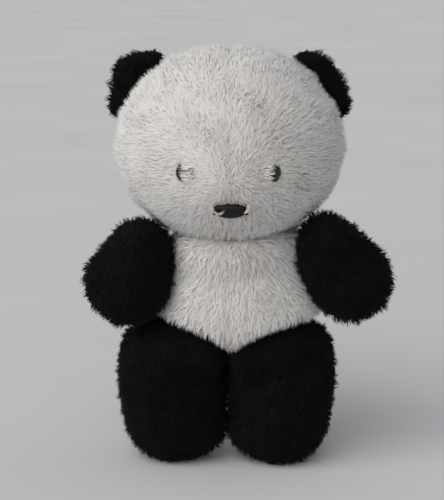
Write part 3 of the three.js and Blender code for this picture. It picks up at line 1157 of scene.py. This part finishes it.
@dataclass
class Nose:
    """A moulded safety nose: a half-round with a nearly flat top and a soft crown."""

    width: float = 20 * MM
    height: float = 9.5 * MM
    flatness: float = 0.4
    slab: float = 2 * MM
    crown: float = 2 * MM
    crown_steps: tuple[tuple[float, float], ...] = (
        (0.35, 0.3),
        (0.3, 0.5),
        (0.2, 0.8),
        (0.15, 1.2),
    )
    shank: Shank = field(default_factory=Shank)

    def build(self, material: bpy.types.Material) -> None:
        """Model the nose and seat it."""
        deselect()
        below = self.height / (1 + self.flatness)
        bpy.ops.mesh.primitive_cylinder_add(vertices=48, radius=self.width / 2, depth=self.slab)
        piece = bpy.context.object
        bpy.ops.object.mode_set(mode="EDIT")
        bpy.ops.mesh.select_all(action="SELECT")
        squeeze = below / (self.width / 2)
        bpy.ops.transform.resize(value=(1, squeeze, 1), center_override=(0, 0, 0))
        self._flatten_top(piece)
        bpy.ops.mesh.select_all(action="SELECT")
        bpy.ops.transform.translate(value=(0, (below - self.height / 2), 0))
        select_faces(lambda face: face.normal.z > FACING_Z)
        for rise, inset in self.crown_steps:
            bpy.ops.mesh.inset(thickness=inset * MM)
            bpy.ops.transform.translate(value=(0, 0, rise * self.crown))
        self.shank.grow(-self.slab / 2, self.height / 2)
        bpy.ops.object.mode_set(mode="OBJECT")
        apply_modifier(piece, "SUBSURF", levels=1, render_levels=1)
        top = self.slab / 2 + self.crown
        finish_moulded(piece, "nose", top, material)

    def _flatten_top(self, piece: bpy.types.Object) -> None:
        """Press the upper half of the outline flat, in edit mode."""
        bpy.ops.mesh.select_mode(type="VERT")
        bpy.ops.mesh.select_all(action="DESELECT")
        shape = bmesh.from_edit_mesh(piece.data)
        for vert in shape.verts:
            vert.select_set(vert.co.y > 0)
        bmesh.update_edit_mesh(piece.data)
        bpy.ops.transform.resize(value=(1, self.flatness, 1), center_override=(0, 0, 0))


# ---------------------------------------------------------------- finishes of this panda

# Acrylic sliver-knit plush: the fibres scatter light among themselves, so it looks soft and is
# never glossy. Real fibres are too fine to show, so a lock of them is drawn as one tapered spike.
WHITE_PILE = PileFinish(
    "acrylic_long_pile_white",
    tones=((0.0, "E6D9D3"), (0.3, "F1ECE8"), (0.6, "FAF9F7"), (1.0, "FFFFFF")),
    shades=((0.0, "EAE6E2"), (0.4, "F9F8F6"), (1.0, "FFFFFF")),
    sheen=0.15,
    sheen_code="FFFFFF",
)
# The same acrylic dyed black and curled: nearly all light is lost between the fibres.
BLACK_PILE = PileFinish(
    "acrylic_curly_pile_black",
    # Its two lightest stops, 1F1C1C and 3A3635, are painted highlights: the few locks toned that
    # high stand for glints on the curls.
    tones=((0.0, "070607"), (0.7, "131112"), (0.95, "1F1C1C"), (1.0, "3A3635")),
    shades=((0.0, "6A6A6A"), (0.5, "C8C8C8"), (1.0, "FFFFFF")),
    sheen=0.06,
    sheen_code="8A8486",
)
# Polyester fibrefill, carded: a dull, slightly blue white with fine streaks.
FIBREFILL = FibreFinish("polyester_fibrefill", "C9CBCC", "EEF0F0", streak_mm=0.8)
# Spun polyester sewing thread.
THREAD = FibreFinish("spun_polyester_thread", "C4C0BA", "EFECE6", streak_mm=0.35, roughness=0.7)
# Polished injection-moulded polystyrene: black and glossy, with faint rubbed patches.
EYE_PLASTIC = PlasticFinish(
    "moulded_polystyrene_gloss",
    "050505",
    "0B0B0C",
    roughness=(0.08, 0.2),
    grain_mm=0.25,
    grain_depth_mm=0.002,
)
# The same with a spark-eroded grain, which dulls it to satin.
NOSE_PLASTIC = PlasticFinish(
    "moulded_polystyrene_satin",
    "0E0B0A",
    "171311",
    roughness=(0.42, 0.6),
    grain_mm=0.3,
    grain_depth_mm=0.02,
    gloss=0.28,
)
# Natural polyethylene: milky and waxy.
WASHER_PLASTIC = PlasticFinish(
    "moulded_polyethylene_natural",
    "D8D6CE",
    "E6E4DD",
    roughness=(0.35, 0.5),
    grain_mm=0.4,
    grain_depth_mm=0.01,
)


@dataclass
class Finishes:
    """The panda's materials, each built once."""

    white: bpy.types.Material = field(default_factory=WHITE_PILE.material)
    black: bpy.types.Material = field(default_factory=BLACK_PILE.material)
    fibre: bpy.types.Material = field(default_factory=FIBREFILL.material)
    thread: bpy.types.Material = field(default_factory=THREAD.material)
    eye: bpy.types.Material = field(default_factory=EYE_PLASTIC.material)
    nose: bpy.types.Material = field(default_factory=NOSE_PLASTIC.material)
    washer: bpy.types.Material = field(default_factory=WASHER_PLASTIC.material)


# ---------------------------------------------------------------- the panda's parts


class Side(Enum):
    """The panda's own sides, which are the opposite of the viewer's."""

    LEFT = "left"
    RIGHT = "right"

    @property
    def sign(self) -> int:
        """Give 1 for left, which is +X, and -1 for right."""
        return 1 if self is Side.LEFT else -1

    def innermost(self, low: Array, high: Array) -> float:
        """Give the X of a box's side that is nearer the panda's middle."""
        return low[0] if self is Side.LEFT else high[0]


def seam_between(first: str, second: str, depth: float = 0.8 * MM) -> Seam:
    """Find the plane that two neighbouring panels meet at.

    Args:
        first: The node behind the plane.
        second: The node in front of it.
        depth: How deep the stitches pull the cloth in.

    Returns:
        The seam.
    """
    behind, ahead = node_points(first), node_points(second)
    tree = tree_of(ahead)
    touching = 0.5 * MM
    found = [(point, tree.find(point)) for point in behind]
    close = np.array([(p + np.array(f[0])) / 2 for p, f in found if f[2] < touching])
    middle = close.mean(0)
    _, _, ways = np.linalg.svd(close - middle, full_matrices=False)
    normal = ways[2] if ways[2] @ (ahead.mean(0) - behind.mean(0)) > 0 else -ways[2]
    return Seam(tuple(middle), tuple(normal), depth)


def turbulence(places: Array, scale: float, seed: int) -> Array:
    """Give a smooth pseudo-random direction at each place."""
    return np.stack([ripple(places, scale, seed + way) for way in range(3)], 1) * 0.7


def front_and_back(names: tuple[str, str]) -> tuple[Panel, Panel]:
    """Give the two panels of a cover with one seam all round, the front one first."""
    return Panel(names[0], (-1,)), Panel(names[1], (1,))


LONG_PILE = Pile(
    length=9 * MM,
    width=0.42 * MM,
    per_mm2=1.3,
    upright=0.5,
    flatten=1.05,
    gather=0.35,
    tuft=14,
    curl=0.5,
    rings=(0.0, 0.35, 0.7),
    spread=0.45,
)
COMBED_PILE = replace(LONG_PILE, width=0.45 * MM, rings=(0.0, 0.25, 0.5, 0.75), rounding=0.9)
LOOSE_CURL = replace(COMBED_PILE, width=0.42 * MM)
SHORT_PILE = Pile(
    length=5.6 * MM,
    width=0.55 * MM,
    per_mm2=0.8,
    upright=0.35,
    flatten=0.75,
    gather=0.65,
    tuft=11,
    curl=0.8,
    rings=(0.0, 0.5),
    spread=0.8,
)


@dataclass
class Head:
    """The head: two face panels and a back panel, the white pile combed out from the bridge."""

    bridge_rise: float = 13 * MM
    turning_back: tuple[float, float] = (0.0, 0.03)
    turning_up: tuple[float, float] = (0.19, 0.225)
    button_trim: tuple[float, float] = (0.007, 0.024)
    ear_trim: tuple[float, float] = (0.003, 0.015)
    # Round the chin the white is toned darker and warmer, fading out between these two distances.
    chin_darkening: tuple[float, float] = (0.006, 0.028)
    eye_radius: float = 6 * MM
    dome: float = 3.2 * MM
    over_eye: dict[Side, float] = field(default_factory=lambda: {Side.RIGHT: 0.62, Side.LEFT: 0.3})
    eye_locks: int = 420
    nose_half: tuple[float, float] = (8.6 * MM, 3.6 * MM)

    def __post_init__(self) -> None:
        """Find the face's buttons."""
        self.eyes = {side: Seat(f"eye_{side.value}") for side in Side}
        self.nose = Seat("nose")
        self.nose_spot = self.nose.place(np.zeros(3), 0.0)
        self.bridge = self.nose_spot + np.array((0.0, -5 * MM, self.bridge_rise))
        self.ear_feet = [self._ear_foot(side) for side in Side]

    def _ear_foot(self, side: Side) -> Array:
        """Give some points along the line where an ear meets the head."""
        points = node_points(f"ear_{side.value}_front_panel")
        away = np.linalg.norm(points - points.mean(0) * np.array((0.0, 1.0, 0.8)), axis=1)
        return points[away < np.quantile(away, 0.35)][::12]

    def nap(self, places: Array, normals: Array) -> Array:
        """Comb the pile out from the bridge of the nose, and down behind the ears."""
        flow = unit(places - self.bridge)
        behind = smoothstep(*self.turning_back, places[:, 1])[:, None]
        flow = flow * (1 - behind) + np.array((0.0, 0.1, -1.0)) * behind
        high = smoothstep(*self.turning_up, places[:, 2])[:, None]
        return flow * (1.0 - 0.35 * high) + turbulence(places, 22 * MM, 3) * (0.3 + 0.35 * high)

    def length(self, places: Array) -> Array:
        """Trim the pile round the eyes, the nose and the ears."""
        spots = [seat.place(np.zeros(3), 0.0) for seat in self.eyes.values()] + [self.nose_spot]
        near = np.min([np.linalg.norm(places - spot, axis=1) for spot in spots], 0)
        feet = np.concatenate(self.ear_feet)
        beside = np.linalg.norm(places[:, None] - feet[None], axis=2).min(1)
        by_buttons = 0.62 + 0.38 * smoothstep(*self.button_trim, near)
        return by_buttons * (0.25 + 0.75 * smoothstep(*self.ear_trim, beside))

    def tone(self, places: Array) -> Array:
        """Vary the white in soft patches, and make it a little darker and warmer round the chin.
        """
        chin = self.nose_spot + np.array((4 * MM, 0.0, -17 * MM))
        away = np.linalg.norm(places - chin, axis=1)
        darkening = 0.45 * (1 - smoothstep(*self.chin_darkening, away))
        return np.clip(0.66 + 0.1 * ripple(places, 26 * MM, 11) - darkening, 0.05, 0.95)

    def bare(self, places: Array) -> Array:
        """Leave the cloth bare under the eyes and the nose."""
        covered = np.zeros(len(places), bool)
        eye_half = (self.eye_radius * 0.95, self.eye_radius * 0.95)
        buttons = [(seat, eye_half) for seat in self.eyes.values()] + [(self.nose, self.nose_half)]
        for seat, half in buttons:
            off = places @ seat.basis - seat.top
            inside = np.linalg.norm(off[:, :2] / np.array(half), axis=1) < 1
            covered |= inside & (np.abs(off[:, 2]) < 20 * MM)
        return covered

    def _arched(self, side: Side, start: Array, end: Array, draw: np.random.Generator) -> Mesh:
        """Arch locks over an eye's dome.

        Args:
            side: Which eye.
            start: Their roots, in the eye's own plane.
            end: Their tips, in the same plane.
            draw: The random numbers.

        Returns:
            The locks.
        """
        seat, count = self.eyes[side], len(start)
        shares = np.array((0.0, *COMBED_PILE.rings[1:], 1.0))
        flat = start[:, None, :] + (end - start)[:, None, :] * shares[None, :, None]
        flat[:, :, 1] += draw.normal(0, 0.7 * MM, (count, 1)) * np.sin(shares * math.pi)
        out = np.linalg.norm(flat, axis=2) / self.eye_radius
        height = np.sqrt(np.clip(1 - out**2, 0, 1)) * self.dome - 1.0 * MM
        height[:, 1:] += 1.6 * MM + draw.uniform(0.0, 1.0, (count, 1)) * MM
        lines = seat.place(np.concatenate([flat, height[:, :, None]], 2), self.dome)
        normals = unit(np.tile(seat.basis[:, 2], (count, 1)) + draw.normal(0, 0.25, (count, 3)))
        # The locks over the eyes are toned 0.2 lower than the pile round them. This is painted
        # shade: they stand out in open light and would show brighter than the pile beside them.
        return COMBED_PILE.skin(lines, normals, self.tone(lines[:, 0]) - 0.2, draw)

    def locks_over_eye(self, side: Side) -> list[Mesh]:
        """Comb locks across an eye from its inner side, and a short fringe over its rim."""
        draw = np.random.default_rng(150 + side.sign)
        inner, radius, count = -side.sign, self.eye_radius, self.eye_locks
        angle = draw.uniform(-1.5, 1.5, count)
        ring = radius * draw.uniform(1.0, 1.5, count)
        start = np.stack([inner * ring * np.cos(angle), ring * np.sin(angle)], 1)
        reach = self.over_eye[side] * np.cos(0.7 * angle) + draw.triangular(-0.9, 0.0, 0.3, count)
        rise = start[:, 1] * draw.uniform(0.7, 1.0, count) + draw.normal(0, 1.3 * MM, count)
        combed = self._arched(side, start, np.stack([-inner * radius * reach, rise], 1), draw)
        fringe = count // 3
        angle = draw.uniform(-1.9, 1.9, fringe)
        way = np.stack([-inner * np.cos(angle), np.sin(angle)], 1) * radius
        start = way * draw.uniform(1.1, 1.5, (fringe, 1))
        end = way * draw.triangular(0.7, 1.0, 1.05, (fringe, 1))
        end += draw.normal(0, 0.5 * MM, (fringe, 2))
        return [combed, self._arched(side, start, end, draw)]

    def nose_curls(self, side: Side) -> Mesh:
        """Curl a few locks down over an upper corner of the nose."""
        draw = np.random.default_rng(160 + side.sign)
        count = 6
        path = {
            Side.RIGHT: ((-10.5, 6.6), (-9.4, 3.4), (-7.4, 1.6), (-5.0, 2.0), (-3.2, 4.2)),
            Side.LEFT: ((9.8, 6.8), (9.4, 4.6), (8.8, 3.0), (8.0, 2.0), (7.2, 1.6)),
        }[side]
        flat = np.tile(np.array(path) * MM, (count, 1, 1))
        flat += draw.normal(0, 0.45 * MM, (count, 1, 2))
        flat += draw.normal(0, 0.2 * MM, (count, len(path), 2))
        height = np.tile(np.array((0.2, 1.4, 1.7, 1.6, 1.2)) * MM, (count, 1))
        height += draw.uniform(0, 0.5 * MM, (count, 1))
        lines = self.nose.place(np.concatenate([flat, height[:, :, None]], 2), 0.6 * MM)
        normals = np.tile(self.nose.basis[:, 2], (count, 1))
        return LOOSE_CURL.skin(lines, normals, np.full(count, 0.45), draw)

    def face_locks(self, node: str) -> list[Mesh]:
        """Give the locks that are combed over the buttons on one side of the face."""
        for side in Side:
            if node == f"face_{side.value}_panel":
                return [*self.locks_over_eye(side), self.nose_curls(side)]
        return []

    def build(self, finishes: Finishes) -> None:
        """Build the cover, its filling and the face's buttons."""
        panels = ("face_left_panel", "face_right_panel", "head_back_panel")
        seams = (seam_between(panels[1], panels[0]), seam_between(panels[0], panels[2]))
        form = StuffedForm((*panels, "head_stuffing"), "head_form", inset=2.5 * MM, seams=seams)
        cut = (Panel(panels[0], (1, -1)), Panel(panels[1], (-1, -1)), Panel(panels[2], (0, 1)))
        Cover(
            "head",
            form,
            cut,
            LONG_PILE,
            "white_long_pile",
            seed=100,
            nap=self.nap,
            length_at=self.length,
            tone_at=self.tone,
            bare_at=self.bare,
            extra=self.face_locks,
        ).build(finishes.white)
        Filling("head_stuffing", "head").build(finishes.fibre)
        for side in Side:
            Eye(side.value, radius=self.eye_radius, dome=self.dome).build(finishes.eye)
        Nose().build(finishes.nose)


@dataclass
class Torso:
    """The body: two chest panels and two back panels in the same white pile.

    The vee's edge rises from its tip by so many millimetres at so many from the middle.
    """

    tip_z: float = 79 * MM
    edge_rise: tuple[tuple[float, float], ...] = (
        (0, 0),
        (6, 6.5),
        (15, 12),
        (25, 16),
        (42, 18.5),
        (60, 19),
    )
    tuck: float = 8 * MM

    def __post_init__(self) -> None:
        """Find the middle of the chest and the neck."""
        self.middle = node_box("chest_left_panel")[0][0]
        low, high = node_box("neck_wadding")
        self.neck = tuple((low + high) / 2)

    def edge(self, places: Array) -> Array:
        """Give the height of the vee's edge at each place: the black legs come up to it."""
        across = np.abs(places[:, 0] - self.middle)
        steps = np.array(self.edge_rise) * MM
        return self.tip_z + np.interp(across, steps[:, 0], steps[:, 1])

    def tucked(self, points: Array, normals: Array) -> Array:
        """Tuck the cloth in below the vee, where the legs lie over it."""
        depth = smoothstep(0.0, 7 * MM, self.edge(points) - points[:, 2])
        return points - normals * (self.tuck * depth)[:, None]

    def nap(self, places: Array, normals: Array) -> Array:
        """Let the pile hang, fanned out over the chest and drawn in at the point of the vee."""
        high = smoothstep(self.tip_z, self.tip_z + 40 * MM, places[:, 2])
        fan = (places[:, 0] - self.middle) / (40 * MM) * (1.3 * high - 0.5)
        flow = np.stack([fan, np.zeros(len(places)), -np.ones(len(places))], 1)
        return unit(flow) + turbulence(places, 20 * MM, 23) * 0.25

    def length(self, places: Array) -> Array:
        """Shorten the pile towards the vee and where it is tucked in."""
        below = self.edge(places) - places[:, 2]
        return 0.35 + 0.65 * smoothstep(-10 * MM, 3 * MM, -below)

    def tone(self, places: Array) -> Array:
        """Vary the white in soft patches."""
        return np.clip(0.66 + 0.1 * ripple(places, 24 * MM, 31), 0.05, 0.95)

    def build(self, finishes: Finishes) -> None:
        """Build the cover and its filling."""
        names = ("chest_left_panel", "chest_right_panel", "back_left_panel", "back_right_panel")
        front = seam_between(names[1], names[0], depth=1.2 * MM)
        seams = (front, seam_between(names[0], names[2]))
        x, y, z = self.neck
        yoke = Pad((x, y - 2 * MM, z - 8 * MM), (38 * MM, 32 * MM, 19 * MM))
        form = StuffedForm(
            (*names, "torso_stuffing"), "torso_form", inset=2 * MM, seams=seams, pads=(yoke,)
        )
        sides = ((1, -1), (-1, -1), (1, 1), (-1, 1))
        cut = tuple(Panel(name, own) for name, own in zip(names, sides))
        Cover(
            "torso",
            form,
            cut,
            LONG_PILE,
            "white_long_pile",
            seed=200,
            nap=self.nap,
            length_at=self.length,
            tone_at=self.tone,
            shape=self.tucked,
        ).build(finishes.white)
        Filling("torso_stuffing", "torso").build(finishes.fibre)


@dataclass
class Ear:
    """One ear: two black half-rounds, lightly padded."""

    side: Side

    def __post_init__(self) -> None:
        """Find the ear's corners."""
        self.low, self.high = node_box(f"ear_{self.side.value}_front_panel")

    def pads(self) -> tuple[Pad, ...]:
        """Give the extra padding.

        Each pad's numbers, in millimetres, are how far down and out it lies from the inner top
        end of the ear, and its half-width and half-height.
        """
        inner = self.side.innermost(self.low, self.high)
        places = {
            Side.RIGHT: (
                (11, 16, 9, 10),
                (19, 23, 10, 14),
                (11, 9, 6, 8),
                (23, 18, 6, 9),
                (32, 24, 5, 8),
            ),
            Side.LEFT: (
                (11, 13, 8, 9),
                (22, 20, 9, 12),
                (11, 7, 6, 8),
                (23, 15, 6, 9),
                (32, 21, 5, 8),
            ),
        }[self.side]
        pads = []
        for down, out, wide, tall in places:
            across, up = inner + self.side.sign * out * MM, self.high[2] - down * MM
            centre = (across, self.high[1] - 1 * MM, up)
            pads.append(Pad(centre, (wide * MM, 5.5 * MM, tall * MM)))
        return tuple(pads)

    def lowered(self, points: Array, normals: Array) -> Array:
        """Press the inner top end of the ear down a little."""
        top = self.high[2]
        press = 2.2 * MM * smoothstep(top - 10 * MM, top, points[:, 2])
        return points - press[:, None] * np.array((0.0, 0.0, 1.0))

    def length(self, places: Array) -> Array:
        """Keep the pile short at the top of the ear."""
        below = self.high[2] - places[:, 2]
        return shaggy(places) * (0.45 + 0.55 * smoothstep(0.0, 12 * MM, below))

    def nap(self, places: Array, normals: Array) -> Array:
        """Let the pile lie out towards the rim."""
        out = np.array((0.7 * self.side.sign, 0.0, 0.7))
        return out + turbulence(places, 8 * MM, 41) * 0.5

    def build(self, finishes: Finishes) -> None:
        """Build the cover."""
        name = f"ear_{self.side.value}"
        panels = (f"{name}_front_panel", f"{name}_back_panel")
        seams = (seam_between(*panels, depth=0.4 * MM),)
        form = StuffedForm(
            panels,
            f"{name}_form",
            voxel=2.5 * MM,
            inset=0.5 * MM,
            swell=0.8 * MM,
            smoothing=4,
            seams=seams,
            pads=self.pads(),
        )
        cut = front_and_back(panels)
        Cover(
            name,
            form,
            cut,
            SHORT_PILE,
            "black_curly_pile",
            seed=300 + self.side.sign,
            fill=0.6,
            nap=self.nap,
            length_at=self.length,
            tone_at=black_tone,
            shape=self.lowered,
        ).build(finishes.black)


def black_tone(places: Array) -> Array:
    """Vary the black in soft patches."""
    return np.clip(0.55 + 0.12 * ripple(places, 12 * MM, 51), 0.05, 0.95)


def shaggy(places: Array) -> Array:
    """Let the curls stand longer in some tufts than in others."""
    return np.clip(0.82 + 0.35 * ripple(places, 7 * MM, 53), 0.5, 1.3)


# How far out from a leg's middle its hip is fullest: less than nothing is nearer the other leg.
HIP_SHIFT = {Side.RIGHT: -4 * MM, Side.LEFT: -1.5 * MM}
# A thin ring of wadding, at the root of a limb or in the neck.
THIN_WADDING = {"voxel": 2.5 * MM, "lump": 0.6 * MM}


@dataclass
class Limb:
    """One arm or leg: a front and a back panel in short curly black pile."""

    kind: str
    side: Side
    seed: int
    inset: float = 0.8 * MM
    hip_shift: float = 0.0

    def nap(self, places: Array, normals: Array) -> Array:
        """Let the curls lie loosely towards the end of the limb."""
        out = np.array((0.25 * self.side.sign, -0.1, -0.8))
        return out + turbulence(places, 9 * MM, 61) * 0.7

    def _shoulder(self) -> tuple[Pad, ...]:
        """Fill an arm: the left one is pushed up and in, and the right one hangs out a little."""
        low, high = node_box(f"arm_{self.side.value}_front_panel")
        shares, radii = {
            Side.LEFT: (((0.28, 0.81), (0.26, 0.6)), (18, 15)),
            Side.RIGHT: (((0.62, 0.75), (0.27, 0.42)), (18, 15.5)),
        }[self.side]
        pads = []
        for (across, up), radius in zip(shares, radii):
            centre = low + np.array((across, 0.5, up)) * (high - low)
            pads.append(Pad(tuple(centre), (radius * MM, 15 * MM, 19 * MM)))
        return tuple(pads)

    def pads(self) -> tuple[Pad, ...]:
        """Give the extra filling: a leg is fuller at the hip, beside the vee and inside."""
        if self.kind == "arm":
            return self._shoulder()
        low, high = node_box(f"leg_{self.side.value}_front_panel")
        sign = self.side.sign
        inner = self.side.innermost(low, high)
        hip = (low[0] + high[0]) / 2 + sign * self.hip_shift
        beside_vee, leg = inner + sign * 12 * MM, inner + sign * 17 * MM
        return (
            Pad((hip, -2 * MM, 73.5 * MM), (27 * MM, 28 * MM, 20 * MM)),
            Pad((beside_vee, -9 * MM, 71.5 * MM), (12.5 * MM, 23 * MM, 15 * MM)),
            Pad((leg, 0.0, 47 * MM), (18.5 * MM, 21 * MM, 18 * MM)),
            Pad((leg, 0.0, 22 * MM), (18.5 * MM, 21 * MM, 18 * MM)),
        )

    def build(self, finishes: Finishes) -> None:
        """Build the cover and its filling."""
        name = f"{self.kind}_{self.side.value}"
        panels = (f"{name}_front_panel", f"{name}_back_panel")
        inner = (f"{name}_stuffing", f"{name}_root_wadding")
        seams = (seam_between(*panels, depth=0.5 * MM),)
        form = StuffedForm(
            (*panels, *inner), f"{name}_form", inset=self.inset, seams=seams, pads=self.pads()
        )
        cut = front_and_back(panels)
        Cover(
            name,
            form,
            cut,
            SHORT_PILE,
            "black_curly_pile",
            seed=self.seed,
            nap=self.nap,
            length_at=shaggy,
            tone_at=black_tone,
        ).build(finishes.black)
        Filling(inner[0], name).build(finishes.fibre)
        Filling(inner[1], inner[1], **THIN_WADDING).build(finishes.fibre)


@dataclass
class KeptNodes:
    """CAD nodes whose shape is right, which only get a finish."""

    nodes: tuple[str, ...]
    slot: str

    def dress(self, material: bpy.types.Material) -> None:
        """Put the finish on each node."""
        for name in self.nodes:
            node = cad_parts[name]
            if not node.material_slots:
                node.data.materials.append(material)
            node.material_slots[0].material = material
            log.info("%s keeps its CAD shape", name)


@dataclass
class Studio:
    """A pale floor, a broad soft light from the upper left, and the glow of a pale room."""

    floor_radius: float = 40.0
    key_from: tuple[float, float, float] = (-0.50, -0.66, 0.56)
    key_strength: float = 1.98
    key_angle: float = 70.0
    glow: float = 0.38
    aim: tuple[float, float, float] = (-0.0104, 0.0, 0.1311)
    distance: float = 0.85
    elevation: float = 12.0
    lens: float = 102.0

    def build(self) -> None:
        """Make the floor, the lights and the camera."""
        self._floor()
        self._lights()
        self._camera()

    def _floor(self) -> None:
        """Lay the floor."""
        deselect()
        bpy.ops.mesh.primitive_circle_add(vertices=96, radius=self.floor_radius, fill_type="NGON")
        floor = bpy.context.object
        floor.name = "floor"
        material, tree, shader = new_material("matt_paper_floor")
        place = add_node(tree, "ShaderNodeTexCoord")
        noise = add_node(
            tree,
            "ShaderNodeTexNoise",
            inputs={"Vector": place.outputs["Object"], "Scale": 3.0, "Detail": 2.0},
        )
        colour = add_ramp(tree, noise.outputs["Fac"], [(0.3, "D9D9DB"), (0.7, "E0E0E0")])
        looks = {"Base Color": colour, "Roughness": 0.95, "Specular IOR Level": 0.1}
        set_inputs(shader, looks)
        floor.data.materials.append(material)

    def _lights(self) -> None:
        """Hang the key light and set the room's glow."""
        key = bpy.data.lights.new("key", "SUN")
        key.energy = self.key_strength
        key.angle = math.radians(self.key_angle)
        key.color = linear("FFFDFB")[:3]
        lamp = link_object("key", key)
        lamp.rotation_mode = "QUATERNION"
        lamp.rotation_quaternion = Vector(self.key_from).to_track_quat("Z", "Y")
        world = bpy.data.worlds.new("room")
        world.use_nodes = True
        glow = {"Color": linear("F4F5F8"), "Strength": self.glow}
        set_inputs(world.node_tree.nodes["Background"], glow)
        bpy.context.scene.world = world
        bpy.context.scene.view_settings.view_transform = "Standard"

    def _camera(self) -> None:
        """Set up the camera."""
        data = bpy.data.cameras.new("camera")
        data.sensor_width = 36.0
        data.lens = self.lens
        data.clip_start, data.clip_end = 0.05, 50.0
        camera = link_object("camera", data)
        tilt = math.radians(self.elevation)
        back = Vector((0.0, -math.cos(tilt), math.sin(tilt)))
        camera.location = Vector(self.aim) + back * self.distance
        camera.rotation_mode = "QUATERNION"
        camera.rotation_quaternion = (-back).to_track_quat("-Z", "Y")
        bpy.context.scene.camera = camera


def main() -> None:
    """Build the panda round its frame, and the studio it stands in."""
    logging.basicConfig(level=logging.INFO, format="%(message)s")
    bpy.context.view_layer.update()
    Studio().build()
    finishes = Finishes()
    Head().build(finishes)
    for side in Side:
        Ear(side).build(finishes)
    Torso().build(finishes)
    for side in Side:
        Limb("arm", side, 400 + side.sign * 10).build(finishes)
        Limb("leg", side, 500 + side.sign * 10, hip_shift=HIP_SHIFT[side]).build(finishes)
    Filling("neck_wadding", "neck_wadding", **THIN_WADDING).build(finishes.fibre)
    washers = ("eye_left_washer", "eye_right_washer", "nose_washer")
    KeptNodes(washers, "washer_plastic").dress(finishes.washer)
    threads = ("neck_seam_thread", "back_closing_thread")
    KeptNodes(threads, "white_thread").dress(finishes.thread)


if __name__ == "__main__":
    main()
